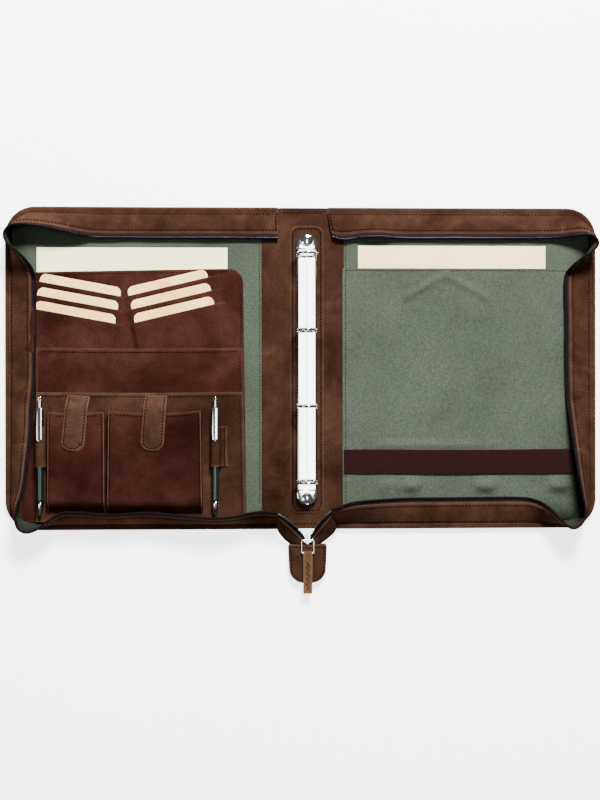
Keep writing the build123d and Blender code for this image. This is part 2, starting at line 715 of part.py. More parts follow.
# ---------------------------------------------------------------- right half
def right_pocket_parts():
    """The lining-cloth pocket, and the elastic band across its foot."""
    with BuildPart() as panel:
        with BuildSketch(Plane.XY.offset(RIGHT_PANEL_Z)) as plan:
            rectangle_between(FACING_X + 0.2, -PANEL_OUT, PANEL_BOTTOM, RIGHT_PANEL_TOP)
            fillet(plan.vertices().group_by(Axis.X)[-1].group_by(Axis.Y)[0], FOOT_R)
        extrude(amount=FABRIC_T)
    save(panel, "right_pocket_panel")

    with BuildPart() as band:
        with BuildSketch(Plane.XY.offset(RIGHT_PANEL_Z + FABRIC_T + 0.1)):
            rectangle_between(
                FACING_X - BAND_LAP, -PANEL_OUT, BAND_Y - BAND_W / 2, BAND_Y + BAND_W / 2
            )
        extrude(amount=BAND_T)
    save(band, "elastic_band")


def main():
    spine_parts()
    mechanism_parts()
    tail_parts()
    pull_parts()
    for side in (-1, 1):
        ring_parts(side)
        cover_parts(side)
        gusset_border(side)
        for edge in ("top", "outer", "bottom"):
            gusset_wall(side, edge)
    organiser_panel()
    card_slots()
    slip_pockets()
    box_pocket("small_pocket", SMALL_POCKET)
    box_pocket("large_pocket", LARGE_POCKET)
    pocket_flap("small_pocket_flap", SMALL_FLAP_X)
    pocket_flap("large_pocket_flap", LARGE_FLAP_X)
    pen_loops()
    for name in ("left", "right"):
        slot_cards(name)
        pen_parts(name)
    sheet_of_paper("left_paper", *LEFT_PAPER)
    sheet_of_paper("right_paper", *RIGHT_PAPER)
    right_pocket_parts()


main()
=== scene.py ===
import json
import math

import bpy
import numpy as np
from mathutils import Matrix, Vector


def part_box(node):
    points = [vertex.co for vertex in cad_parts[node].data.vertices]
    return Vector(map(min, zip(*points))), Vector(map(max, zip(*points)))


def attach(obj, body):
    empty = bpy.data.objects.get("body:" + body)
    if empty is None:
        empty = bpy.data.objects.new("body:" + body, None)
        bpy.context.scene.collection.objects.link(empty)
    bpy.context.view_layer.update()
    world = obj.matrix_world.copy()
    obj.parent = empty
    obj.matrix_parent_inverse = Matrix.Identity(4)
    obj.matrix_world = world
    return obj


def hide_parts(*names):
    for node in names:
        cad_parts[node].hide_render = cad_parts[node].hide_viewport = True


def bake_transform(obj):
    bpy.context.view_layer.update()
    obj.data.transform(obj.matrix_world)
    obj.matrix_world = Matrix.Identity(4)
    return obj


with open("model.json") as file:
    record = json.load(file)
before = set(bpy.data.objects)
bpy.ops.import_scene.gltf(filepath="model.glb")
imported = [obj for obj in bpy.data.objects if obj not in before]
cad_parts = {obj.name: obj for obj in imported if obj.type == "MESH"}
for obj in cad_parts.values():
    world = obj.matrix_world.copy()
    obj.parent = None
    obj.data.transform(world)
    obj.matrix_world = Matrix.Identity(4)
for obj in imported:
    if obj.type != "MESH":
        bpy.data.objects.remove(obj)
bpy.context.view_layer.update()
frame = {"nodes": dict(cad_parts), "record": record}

# Looks of a leather ring-binder organiser that lies open and flat. All sizes are millimetres in
# the shared frame: X across the open case, Y towards its top edge, Z up.

MM = 0.001


def node_box(name):
    """A CAD node's lowest and highest corner, in millimetres."""
    low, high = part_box(name)
    return np.array(low) / MM, np.array(high) / MM


def middle_and_half(name):
    """Where a CAD node's middle lies along X, and half its width."""
    low, high = node_box(name)
    return (low[0] + high[0]) / 2, (high[0] - low[0]) / 2


# ---------------------------------------------------------------- sizes taken from the CAD
cover_low, cover_high = node_box("right_cover_leather")
HALF_W = cover_high[0]              # spine's middle to a cover's outer edge
EDGE_Y = cover_high[1]              # middle to the top edge
FOLD_X = cover_low[0]               # middle to a fold line
INSIDE_Z = node_box("right_lining")[1][2]
FLANGE_Z = INSIDE_Z + 1.3           # top of the sewn flange
CORNER_R = 31.0                     # the covers' outer corners, in plan
SEAM = 6.0                          # seam line, in from the edge
FACING_X = 43.4                     # middle to the inner facing's outer edge


# ---------------------------------------------------------------- small maths
def unit(v):
    """One vector made one long."""
    v = np.asarray(v, float)
    return v / max(np.linalg.norm(v), 1e-12)


def unit_rows(v):
    """Every row of an array made one long."""
    return v / np.maximum(np.linalg.norm(v, axis=-1, keepdims=True), 1e-9)


def on_side(side, x):
    """Rising distances from the case's middle, as rising X on one side of it."""
    return x if side > 0 else -x[::-1]


def curve_through(xs, ys, x):
    """A smooth curve through given points: cubic, with slopes from the neighbours."""
    xs, ys = np.asarray(xs, float), np.asarray(ys, float)
    slopes = np.gradient(ys, xs)
    x = np.clip(x, xs[0], xs[-1])
    i = np.clip(np.searchsorted(xs, x) - 1, 0, len(xs) - 2)
    h = xs[i + 1] - xs[i]
    t = (x - xs[i]) / h
    return (
        (1 + 2 * t) * (1 - t) ** 2 * ys[i]
        + t * (1 - t) ** 2 * h * slopes[i]
        + t * t * (3 - 2 * t) * ys[i + 1]
        - t * t * (1 - t) * h * slopes[i + 1]
    )


def smooth_step(t):
    """From 0 to 1 as t does, level at both ends, and steady outside them."""
    t = np.clip(t, 0, 1)
    return t * t * (3 - 2 * t)


def along(points, step):
    """Points every step mm along a polyline, with their tangents."""
    p = np.asarray(points, float)
    runs = np.linalg.norm(np.diff(p, axis=0), axis=1)
    s = np.concatenate([[0], np.cumsum(runs)])
    count = max(int(s[-1] / step), 1)
    at = (np.arange(count) + 0.5) * s[-1] / count

    def read(places):
        return np.stack([np.interp(places, s, p[:, k]) for k in range(p.shape[1])], axis=1)

    tangent = read(at + 0.4) - read(at - 0.4)
    return read(at), unit_rows(tangent)


def wave(x, y, seed, size):
    """Slow, repeatable unevenness of a soft surface, from -1 to 1."""
    total = 0.0
    for k in range(4):
        a = 0.9 * seed + 1.7 * k
        phase = 2.1 * seed + 1.3 * k
        total = total + np.sin((x * math.cos(a) + y * math.sin(a)) / size * (2 + 0.7 * k) + phase)
    return total / 4


# ---------------------------------------------------------------- mesh building
class Piece:
    """Collects faces in millimetres, then makes one Blender object of them.

    A body is the name of what the object rides on; a tuple (body, body, start, end) only has the
    object's transform baked in.
    """

    def __init__(self, name):
        self.name = name
        self.verts = []
        self.faces = []
        self.wear_and_shade = []
        self.count = 0

    def add(self, verts, faces, wear_and_shade=0.0):
        verts = np.asarray(verts, float).reshape(-1, 3)
        self.verts.append(verts)
        self.wear_and_shade.append(np.broadcast_to(np.asarray(wear_and_shade, float).ravel(), (len(verts),)))
        self.faces += [tuple(i + self.count for i in f) for f in faces]
        self.count += len(verts)

    def finish(self, material, body=None, replaces=(), sharp=35):
        mesh = bpy.data.meshes.new(self.name)
        mesh.from_pydata((np.concatenate(self.verts) * MM).tolist(), [], self.faces)
        mesh.update()
        # this attribute holds rubbed wear on leather and painted shade on twill
        wear_and_shade = mesh.attributes.new("wear_and_shade", "FLOAT", "POINT")
        wear_and_shade.data.foreach_set("value", np.concatenate(self.wear_and_shade).astype(np.float32))
        mesh.polygons.foreach_set("use_smooth", [True] * len(mesh.polygons))
        mesh.set_sharp_from_angle(angle=math.radians(sharp))
        mesh.materials.append(material)
        obj = bpy.data.objects.new(self.name, mesh)
        bpy.context.collection.objects.link(obj)
        if replaces:
            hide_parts(*replaces)
        if isinstance(body, str):
            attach(obj, body)
        elif body is not None:
            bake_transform(obj)
        return obj


def grid_faces(n, m, offset=0, flip=False, wrap=False):
    """The faces of a grid of n rows and m columns, closed round each row if it wraps."""
    faces = []
    for i in range(n - 1):
        for j in range(m if wrap else m - 1):
            k = (j + 1) % m
            quad = (i * m + j, i * m + k, (i + 1) * m + k, (i + 1) * m + j)
            quad = tuple(q + offset for q in quad)
            faces.append(quad[::-1] if flip else quad)
    return faces


def plan_grid(x, y, z=0.0):
    """A grid of points over the plan positions x and y, at height z."""
    g = np.zeros((len(x), len(y), 3))
    g[..., 0] = x[:, None]
    g[..., 1] = y[None]
    g[..., 2] = z
    return g


def grid_normals(g):
    """The direction that the surface faces at every grid point."""
    return unit_rows(np.cross(np.gradient(g, axis=0), np.gradient(g, axis=1)))


def rows_facing(g, way=(0, 0, 1), row=None):
    """The order of rows that makes a grid's top side face a given way."""
    row = len(g) // 2 if row is None else row
    normal = grid_normals(g)[row, g.shape[1] // 2]
    return slice(None) if np.dot(normal, way) > 0 else slice(None, None, -1)


def round_corner(g, x0, y0, r):
    """Pulls the grid points past both x0 and y0 back to within r of that place."""
    sx, sy = np.sign(x0), np.sign(y0)
    dx = np.maximum(sx * (g[..., 0] - x0), 0)
    dy = np.maximum(sy * (g[..., 1] - y0), 0)
    far = np.maximum(np.hypot(dx, dy), 1e-6)
    pull = np.where((dx > 0) & (dy > 0) & (far > r), r / far, 1.0)
    g[..., 0] = np.where(dx > 0, x0 + sx * dx * pull, g[..., 0])
    g[..., 1] = np.where(dy > 0, y0 + sy * dy * pull, g[..., 1])


def border_distance(g):
    """Distance of each grid point to the sheet's border, measured along the rows."""
    du = np.linalg.norm(np.diff(g, axis=0), axis=2)
    dv = np.linalg.norm(np.diff(g, axis=1), axis=2)
    u = np.concatenate([np.zeros((1, g.shape[1])), np.cumsum(du, axis=0)])
    v = np.concatenate([np.zeros((g.shape[0], 1)), np.cumsum(dv, axis=1)], axis=1)
    return np.minimum(np.minimum(u, u[-1] - u), np.minimum(v, v[:, -1:] - v))


def rounded_steps(length, step, edge):
    """Parameters from 0 to 1, close together at both ends so that an edge can be rounded."""
    near = np.array([0, 0.12, 0.35, 0.7, 1.0]) * edge
    inner = np.linspace(edge, length - edge, max(int((length - 2 * edge) / step), 2) + 1)
    at = np.concatenate([near[:-1], inner, length - near[:-1][::-1]])
    return at / length


def sheet(piece, g, thick, edge=0.8, wear_and_shade_width=1.6, lift=None, edge_mark=1.0):
    """A sheet of real thickness about a grid of points, with rounded edges.

    The edge attribute falls off from the edges: leather is rubbed pale by it, and twill is darkened
    by it as painted shade.
    """
    n, m = g.shape[:2]
    normal = grid_normals(g)
    d = border_distance(g)
    fall = np.sqrt(np.clip(1 - (1 - np.clip(d / edge, 0, 1)) ** 2, 0, 1))
    half = thick / 2 * (0.45 + 0.55 * fall)
    top = g + normal * (half + (0 if lift is None else lift))[..., None]
    bottom = g - normal * half[..., None]
    # leather reads this as rubbed wear, twill as painted shade
    wear_and_shade = np.exp(-((d / wear_and_shade_width) ** 2)) * edge_mark
    border = (
        [(0, j) for j in range(m)]
        + [(i, m - 1) for i in range(1, n)]
        + [(n - 1, j) for j in range(m - 2, -1, -1)]
        + [(i, 0) for i in range(n - 2, 0, -1)]
    )
    ring = [i * m + j for i, j in border]
    side = []
    for a, b in zip(ring, ring[1:] + ring[:1]):
        side.append((b, a, a + n * m, b + n * m))
    faces = grid_faces(n, m) + grid_faces(n, m, n * m, flip=True) + side
    piece.add(
        np.concatenate([top.reshape(-1, 3), bottom.reshape(-1, 3)]),
        faces,
        np.concatenate([wear_and_shade.ravel(), wear_and_shade.ravel()]),
    )


def offset_outline(points, inset):
    """A closed counter-clockwise outline moved inwards."""
    p = np.asarray(points, float)
    e1 = p - np.roll(p, 1, axis=0)
    e2 = np.roll(p, -1, axis=0) - p
    n1 = unit_rows(np.stack([-e1[:, 1], e1[:, 0]], axis=1))
    n2 = unit_rows(np.stack([-e2[:, 1], e2[:, 0]], axis=1))
    bisector = unit_rows(n1 + n2)
    scale = np.clip(np.sum(bisector * n1, axis=1, keepdims=True), 0.5, 1)
    return p + bisector * inset / scale


def plate(piece, outline, low, high, edge=0.6, crown=0.0, crown_width=6.0):
    """A flat piece with a plan outline, rounded edges and, if asked, a crowned top."""
    rings = [
        (edge, low, 0.3),
        (0.0, low + edge * 0.8, 1.0),
        (0.0, high - edge, 1.0),
        (edge * 0.3, high - edge * 0.3, 0.9),
        (edge, high, 0.5),
    ]
    if crown:
        for t in (0.25, 0.5, 0.75, 1.0):
            rings.append((edge + crown_width * t, high + crown * math.sin(t * math.pi / 2), 0))
    else:
        rings.append((edge + 1.5, high, 0.0))
    n = len(outline)
    verts, wear_and_shade = [], []
    for inset, z, w in rings:
        p = offset_outline(outline, inset)
        verts.append(np.column_stack([p, np.full(n, z)]))
        wear_and_shade += [w] * n
    faces = grid_faces(len(rings), n, wrap=True)
    faces.append(tuple(range(n))[::-1])
    last = (len(rings) - 1) * n
    faces.append(tuple(range(last, last + n)))
    piece.add(np.concatenate(verts), faces, wear_and_shade)


def tube(piece, points, radius, sides=10, closed=False, wear_and_shade=0.0):
    """A round cord along a line."""
    p = np.asarray(points, float)
    n = len(p)
    if closed:
        tangent = np.roll(p, -1, axis=0) - np.roll(p, 1, axis=0)
    else:
        tangent = np.gradient(p, axis=0)
    tangent = unit_rows(tangent)
    side = unit(np.cross(tangent[0], [0.13, 0.21, 0.97]))
    radius = np.broadcast_to(np.asarray(radius, float), (n,))
    rings = []
    for k in range(n):
        side = unit(side - tangent[k] * np.dot(side, tangent[k]))
        other = np.cross(tangent[k], side)
        a = np.linspace(0, 2 * math.pi, sides, endpoint=False)
        ring = np.outer(np.cos(a), side) + np.outer(np.sin(a), other)
        rings.append(p[k] + ring * radius[k])
    faces = grid_faces(n, sides, flip=True, wrap=True)
    if closed:
        last = (n - 1) * sides
        for j in range(sides):
            k = (j + 1) % sides
            faces.append((last + k, last + j, j, k))
    else:
        faces.append(tuple(range(sides)))
        faces.append(tuple(range((n - 1) * sides, n * sides))[::-1])
    piece.add(np.concatenate(rings), faces, wear_and_shade)


def lathe(piece, profile, x, z, sides=28):
    """Turned about an axis along Y: profile is (y, radius) from the top down."""
    rings = []
    a = np.linspace(0, 2 * math.pi, sides, endpoint=False)
    for y, r in profile:
        rings.append(np.column_stack([x + r * np.cos(a), np.full(sides, y), z + r * np.sin(a)]))
    faces = grid_faces(len(profile), sides, wrap=True)
    faces.append(tuple(range(sides))[::-1])
    last = (len(profile) - 1) * sides
    faces.append(tuple(range(last, last + sides)))
    piece.add(np.concatenate(rings), faces)


# one stitch, end to end: (place along it, thickness), as shares of its length and width
STITCH_RINGS = ((-0.5, 0.35), (-0.32, 0.9), (0.0, 1.0), (0.32, 0.9), (0.5, 0.35))


def stitches(piece, points, normals=None, pitch=3.4, long=2.1, wide=0.62, sunk=0.06):
    """A row of sewn stitches along a line that lies on the surface."""
    p = np.asarray(points, float)
    if normals is None:
        normals = np.tile([0.0, 0.0, 1.0], (len(p), 1))
    both, tangent = along(np.column_stack([p, normals]), pitch)
    for row, t in zip(both, tangent):
        at, up = row[:3], unit(row[3:])
        t = unit(t[:3])
        side = unit(np.cross(t, up))
        verts = []
        for place, size in STITCH_RINGS:
            middle = at + t * long * place + up * (wide * 0.45 * size - sunk)
            for a in range(6):
                turn = a * math.pi / 3
                swell = side * math.cos(turn) * wide + up * math.sin(turn) * wide * 0.7
                verts.append(middle + swell * size)
        faces = grid_faces(5, 6, wrap=True)
        faces += [tuple(range(6))[::-1], tuple(range(24, 30))]
        piece.add(verts, faces)


LINING_STITCH = {"pitch": 3.2, "long": 2.1, "wide": 0.5}


def sew(name, body, *lines, thread=None, slot="leather", **sizes):
    """One object of sewn lines. Each is a list of points, or a tuple of points and normals."""
    sewing = Piece(name)
    for line in lines:
        points, normals = line if isinstance(line, tuple) else (line, None)
        stitches(sewing, points, normals, **sizes)
    sewing.finish(thread or THREAD, body)


def seam_path(outline, inset, z):
    """A closed line of points inside an outline, at one height."""
    path = offset_outline(outline, inset)
    path = np.concatenate([path, path[:1]])
    return np.column_stack([path, np.full(len(path), z)])


# ---------------------------------------------------------------- materials
def node(tree, kind, **inputs):
    """A new shader node, with its inputs linked or set; other names are its properties."""
    made = tree.nodes.new(kind)
    for name, value in inputs.items():
        key = name.replace("_", " ")
        if key not in made.inputs:
            setattr(made, name, value)
        elif isinstance(value, bpy.types.NodeSocket):
            tree.links.new(value, made.inputs[key])
        else:
            made.inputs[key].default_value = value
    return made


def noise(tree, where, scale, detail=4.0, rough=0.55, distort=0.0):
    """A cloudy value from 0 to 1; scale is in clouds to the metre."""
    made = node(
        tree, "ShaderNodeTexNoise",
        Vector=where, Scale=scale, Detail=detail, Roughness=rough, Distortion=distort,
    )
    return made.outputs["Fac"]


def ramp(tree, value, *stops):
    """A value turned into a colour, or a grey, by two or more (place, colour) stops."""
    made = node(tree, "ShaderNodeValToRGB", Fac=value)
    elements = made.color_ramp.elements
    while len(elements) < len(stops):
        elements.new(0.5)
    for element, (place, colour) in zip(elements, stops):
        element.position = place
        if isinstance(colour, (int, float)):
            colour = (colour, colour, colour)
        element.color = (*colour, 1)
    return made.outputs["Color"]


def plug(tree, *pairs):
    """Links or sets numbered sockets: (socket, a socket, colour or number to feed it)."""
    for socket, value in pairs:
        if isinstance(value, bpy.types.NodeSocket):
            tree.links.new(value, socket)
        elif isinstance(value, tuple):
            socket.default_value = (*value, 1)
        else:
            socket.default_value = value


def mix(tree, kind, a, b, factor):
    """Two colours blended."""
    made = node(tree, "ShaderNodeMix", data_type="RGBA", blend_type=kind)
    plug(tree, (made.inputs[6], a), (made.inputs[7], b), (made.inputs[0], factor))
    return made.outputs[2]


def value_math(tree, kind, a, b):
    """Arithmetic on two values."""
    made = node(tree, "ShaderNodeMath", operation=kind)
    plug(tree, (made.inputs[0], a), (made.inputs[1], b))
    return made.outputs[0]


def start_material(name, **inputs):
    """A new material, its node tree, its shader with these inputs, and object coordinates."""
    made = bpy.data.materials.new(name)
    made.use_nodes = True
    tree = made.node_tree
    shader = tree.nodes["Principled BSDF"]
    for key, value in inputs.items():
        shader.inputs[key.replace("_", " ")].default_value = value
    where = tree.nodes.new("ShaderNodeTexCoord").outputs["Object"]
    return made, tree, shader, where


def bump(tree, shader, height, strength, distance):
    """Fine relief from a value; distance is in metres."""
    made = node(tree, "ShaderNodeBump", Strength=strength, Distance=distance, Height=height)
    tree.links.new(made.outputs["Normal"], shader.inputs["Normal"])


def leather_material(name, dark, middle, light, edge_mark, patch=14.0, rough=(0.58, 0.75)):
    """Waxed pull-up leather: cloudy colour, fine grain, paler where it is bent or worn."""
    made, tree, shader, where = start_material(name, Specular_IOR_Level=0.0)
    clouds = noise(tree, where, patch, 5.0, 0.62, 0.6)
    cloudy = ramp(tree, clouds, (0.33, dark), (0.5, middle), (0.68, light))
    streaks = noise(tree, where, patch * 6, 3.0, 0.6)
    streaked = mix(tree, "MULTIPLY", cloudy, ramp(tree, streaks, (0.3, 0.74), (0.7, 1.16)), 0.75)
    pores = noise(tree, where, 620.0, 3.0, 0.7)
    grainy = mix(tree, "MULTIPLY", streaked, ramp(tree, pores, (0.36, 0.72), (0.64, 1.18)), 0.8)
    edge = node(tree, "ShaderNodeAttribute", attribute_name="wear_and_shade").outputs["Fac"]
    rubbed = value_math(tree, "MULTIPLY", edge, ramp(tree, streaks, (0.3, 0.45), (0.7, 1.0)))
    coloured = mix(tree, "MIX", grainy, edge_mark, value_math(tree, "MULTIPLY", rubbed, 0.7))
    tree.links.new(coloured, shader.inputs["Base Color"])
    roughness = ramp(tree, clouds, (0.3, rough[0]), (0.7, rough[1]))
    tree.links.new(roughness, shader.inputs["Roughness"])
    cells = node(
        tree, "ShaderNodeTexVoronoi", Vector=where, Scale=900.0, feature="DISTANCE_TO_EDGE"
    )
    grain = value_math(tree, "MULTIPLY", cells.outputs["Distance"], 1.6)
    height = value_math(tree, "ADD", grain, value_math(tree, "MULTIPLY", streaks, 1.2))
    bump(tree, shader, height, 0.35, 0.0005)
    return made


def twill_material(name, dark, light, pitch=1.9):
    """A twill weave: diagonal ribs with a little yarn unevenness, darkened by painted shade where the
    edge attribute is high.
    """
    made, tree, shader, where = start_material(name, Roughness=0.85, Specular_IOR_Level=0.0)
    ribs = node(
        tree, "ShaderNodeTexWave", Vector=where, Scale=0.444 / (pitch * MM),
        Distortion=3.0, Detail=2.0, Detail_Scale=2.5, bands_direction="DIAGONAL",
    )
    yarn = noise(tree, where, 430.0, 4.0, 0.75)
    slow = noise(tree, where, 12.0, 4.0, 0.55)
    mixed = value_math(tree, "ADD", value_math(tree, "MULTIPLY", ribs.outputs["Fac"], 0.28), yarn)
    woven = ramp(tree, mixed, (0.42, dark), (0.93, light))
    shaded = mix(tree, "MULTIPLY", woven, ramp(tree, slow, (0.35, 0.80), (0.65, 1.08)), 0.9)
    # painted shade: the cloth is multiplied towards a dark grey as far as the edge attribute asks
    shade_amount = node(tree, "ShaderNodeAttribute", attribute_name="wear_and_shade").outputs["Fac"]
    painted_shade_colour = mix(tree, "MULTIPLY", shaded, (0.22, 0.22, 0.20), shade_amount)
    tree.links.new(painted_shade_colour, shader.inputs["Base Color"])
    bump(tree, shader, mixed, 0.35, 0.0004)
    return made


def ribbon_material(name, dark, light, pitch=1.1, direction="X", rough=0.6):
    """Woven tape, elastic or thread: fine ribs."""
    made, tree, shader, where = start_material(name, Roughness=rough, Specular_IOR_Level=0.0)
    ribs = node(
        tree, "ShaderNodeTexWave", Vector=where, Scale=0.314 / (pitch * MM),
        Distortion=0.6, bands_direction=direction,
    )
    yarn = noise(tree, where, 900.0, 2.0, 0.6)
    mixed = value_math(tree, "ADD", value_math(tree, "MULTIPLY", ribs.outputs["Fac"], 0.5), yarn)
    tree.links.new(ramp(tree, mixed, (0.3, dark), (1.1, light)), shader.inputs["Base Color"])
    bump(tree, shader, mixed, 0.4, 0.0003)
    return made


def metal_material(name, colour, low, high):
    """Plated metal with faint handling marks; low and high are its roughness."""
    made, tree, shader, where = start_material(name, Metallic=1.0)
    marks = noise(tree, where, 180.0, 6.0, 0.65, 0.4)
    tree.links.new(ramp(tree, marks, (0.3, low), (0.75, high)), shader.inputs["Roughness"])
    shaded = ramp(tree, marks, (0.2, tuple(c * 0.86 for c in colour)), (0.7, colour))
    tree.links.new(shaded, shader.inputs["Base Color"])
    bump(tree, shader, marks, 0.02, 0.0004)
    return made


def paper_material(name, pale, aged, rough=0.75, spread=11.0):
    """Writing paper or card, a little yellowed in places."""
    made, tree, shader, where = start_material(name, Roughness=rough)
    age = noise(tree, where, spread, 5.0, 0.6, 0.8)
    fibre = noise(tree, where, 900.0, 3.0, 0.6)
    toned = ramp(tree, age, (0.42, pale), (0.72, aged))
    fibred = mix(tree, "MULTIPLY", toned, ramp(tree, fibre, (0.3, 0.95), (0.7, 1.02)), 1.0)
    tree.links.new(fibred, shader.inputs["Base Color"])
    bump(tree, shader, fibre, 0.12, 0.0002)
    return made


def paint_material(name, colour, flake):
    """Metallic lacquer on a pen's barrel."""
    made, tree, shader, where = start_material(
        name, Metallic=0.75, Roughness=0.28, Coat_Weight=0.6, Coat_Roughness=0.12
    )
    flakes = noise(tree, where, 1500.0, 2.0, 0.6)
    tree.links.new(ramp(tree, flakes, (0.35, colour), (0.7, flake)), shader.inputs["Base Color"])
    return made


# every leather: darkest cloud, middle colour, lightest cloud, worn edge
LEATHER = leather_material(
    "waxed_leather",
    (0.0155, 0.0064, 0.0037), (0.0300, 0.0132, 0.0078), (0.047, 0.0225, 0.0132),
    (0.074, 0.041, 0.025),
)
RED_LEATHER = leather_material(
    "red_brown_leather",
    (0.0135, 0.0038, 0.0026), (0.0255, 0.0078, 0.0056), (0.041, 0.0148, 0.0104),
    (0.064, 0.031, 0.019), patch=11.0, rough=(0.55, 0.70),
)
FLAP_LEATHER = leather_material(
    "flap_leather",
    (0.028, 0.0122, 0.0075), (0.039, 0.0186, 0.0115), (0.054, 0.0275, 0.0172),
    (0.074, 0.040, 0.026), patch=22.0,
)
PULL_LEATHER = leather_material(
    "pull_leather",
    (0.050, 0.0245, 0.0118), (0.070, 0.036, 0.0178), (0.093, 0.053, 0.027), (0.12, 0.072, 0.040),
    patch=45.0, rough=(0.65, 0.8),
)
TWILL = twill_material("green_twill", (0.029, 0.037, 0.026), (0.070, 0.083, 0.062))
ELASTIC = ribbon_material("burgundy_elastic", (0.0050, 0.0016, 0.0018), (0.0185, 0.0072, 0.0078))
TAPE = ribbon_material(
    "zip_tape", (0.0020, 0.0016, 0.0018), (0.0080, 0.0062, 0.0070), 1.3, "DIAGONAL", 0.85
)
TAPE_EDGE = ribbon_material(
    "zip_tape_edge", (0.009, 0.0034, 0.0048), (0.023, 0.0098, 0.0138), 1.3, "DIAGONAL", 0.85
)
THREAD = ribbon_material(
    "thread", (0.0018, 0.0010, 0.0008), (0.0055, 0.003, 0.002), 0.6, "DIAGONAL"
)
LINING_THREAD = ribbon_material(
    "lining_thread", (0.008, 0.009, 0.006), (0.022, 0.025, 0.017), 0.6, "DIAGONAL"
)
TEETH = metal_material("zip_teeth", (0.14, 0.135, 0.14), 0.42, 0.6)
CHROME = metal_material("bright_chrome", (0.92, 0.92, 0.93), 0.04, 0.11)
SATIN = metal_material("satin_steel", (0.78, 0.77, 0.76), 0.16, 0.30)
PAPER = paper_material("cream_paper", (0.97, 0.94, 0.60), (0.96, 0.90, 0.50))
AGED_PAPER = paper_material("aged_paper", (0.97, 0.80, 0.36), (0.94, 0.64, 0.20), spread=8.0)
CARD = paper_material("card_stock", (0.97, 0.70, 0.26), (0.86, 0.44, 0.09), 0.5, 28.0)
PEN_PAINT = paint_material("pen_lacquer", (0.008, 0.020, 0.017), (0.024, 0.050, 0.045))
PEN_BLACK = paint_material("pen_black", (0.006, 0.006, 0.007), (0.018, 0.018, 0.02))


def repaint(slot_name, material):
    """Gives the CAD nodes of one material slot the finish seen on the object."""
    for part in frame["record"]["subparts"]:
        if part["material_slot"] == slot_name:
            cad = frame["nodes"][part["node"]]
            cad.data.materials.clear()
            cad.data.materials.append(material)


# ---------------------------------------------------------------- covers and linings
def arc(cx, cy, r, start, end, count):
    """Points on a circle, counter-clockwise from one angle to another, in degrees."""
    a = np.radians(np.linspace(start, end, count))
    return np.column_stack([cx + r * np.cos(a), cy + r * np.sin(a)])


def cover_outline(side, inner):
    """A cover's plan, counter-clockwise seen from above."""
    outer, top, r = HALF_W, EDGE_Y, CORNER_R
    edge_down = np.linspace(top, -top, 30)[1:-1]
    right = np.concatenate(
        [
            [[inner, -top]],
            arc(outer - r, r - top, r, -90, 0, 12),
            arc(outer - r, top - r, r, 0, 90, 12),
            [[inner, top]],
            np.column_stack([np.full(28, inner), edge_down]),
        ]
    )
    return right if side > 0 else (right * [-1, 1])[::-1]


def side_name(side):
    return "left" if side < 0 else "right"


def make_covers():
    """The outer leather: a slab with rolled edges for each cover, the spine, and the folds."""
    top, roll = INSIDE_Z - 0.4, 1.3
    strip_start, strip_width = FOLD_X - 9, 20
    for side in (-1, 1):
        name = side_name(side)
        slab = Piece(f"{name}_outer_leather")
        plate(slab, cover_outline(side, FOLD_X + 8), 0.0, top, roll)
        slab.finish(LEATHER, f"{name}_cover", [f"{name}_cover_leather"])
        x = on_side(side, strip_start + strip_width * rounded_steps(strip_width, 1.4, 0.8))
        y = np.linspace(-EDGE_Y + 0.3, EDGE_Y - 0.3, 60)
        fold = Piece(f"{name}_fold_leather")
        sheet(fold, plan_grid(x, y, 1.0), 1.7)
        bend = [(side * (FOLD_X + away), 0, 1) for away in (-5, 5)]
        fold.finish(LEATHER, ("spine", f"{name}_cover", *bend))
    spine = Piece("spine_outer_leather")
    half = FOLD_X - 4
    outline = [(-half, -EDGE_Y), (half, -EDGE_Y), (half, EDGE_Y), (-half, EDGE_Y)]
    plate(spine, outline, 0.0, top, roll)
    spine.finish(LEATHER, "spine", ["spine_leather"])


def make_facing():
    """The inner leather facing: flat on the spine, with a slight dip over both folds."""
    near, far = FOLD_X - 7, FOLD_X + 7
    length = 2 * EDGE_Y - 1
    y = (rounded_steps(length, 6, 0.8) - 0.5) * length

    def strip(name, x0, x1, body, replaces=()):
        x = np.linspace(x0, x1, max(int((x1 - x0) / 1.6), 3))
        g = plan_grid(x, y)
        dip = 0.5 * np.exp(-(((np.abs(x) - FOLD_X) / 3.5) ** 2))
        g[..., 2] = INSIDE_Z - 0.1 - dip[:, None] + 0.16 * wave(g[..., 0], g[..., 1], 3, 30)
        made = Piece(name)
        sheet(made, g, 1.2, 0.01, edge_mark=0.0)
        made.finish(LEATHER, body, replaces)

    strip("spine_facing_leather", -near, near, "spine", ["spine_facing"])
    places = np.linspace(-near, near, 30)
    rows = [[(v, y_end, INSIDE_Z + 0.55) for v in places] for y_end in (5.5 - EDGE_Y, EDGE_Y - 5.5)]
    sew("spine_end_stitches", "spine", *rows)
    for side in (-1, 1):
        name = side_name(side)
        low, high = sorted((side * near, side * far))
        bend = [(side * v, 0, 4) for v in (near + 2, far - 2)]
        strip(f"{name}_fold_facing", low, high, ("spine", f"{name}_cover", *bend))
        low, high = sorted((side * far, side * FACING_X))
        strip(f"{name}_margin_leather", low, high, f"{name}_cover", [f"{name}_facing_margin"])


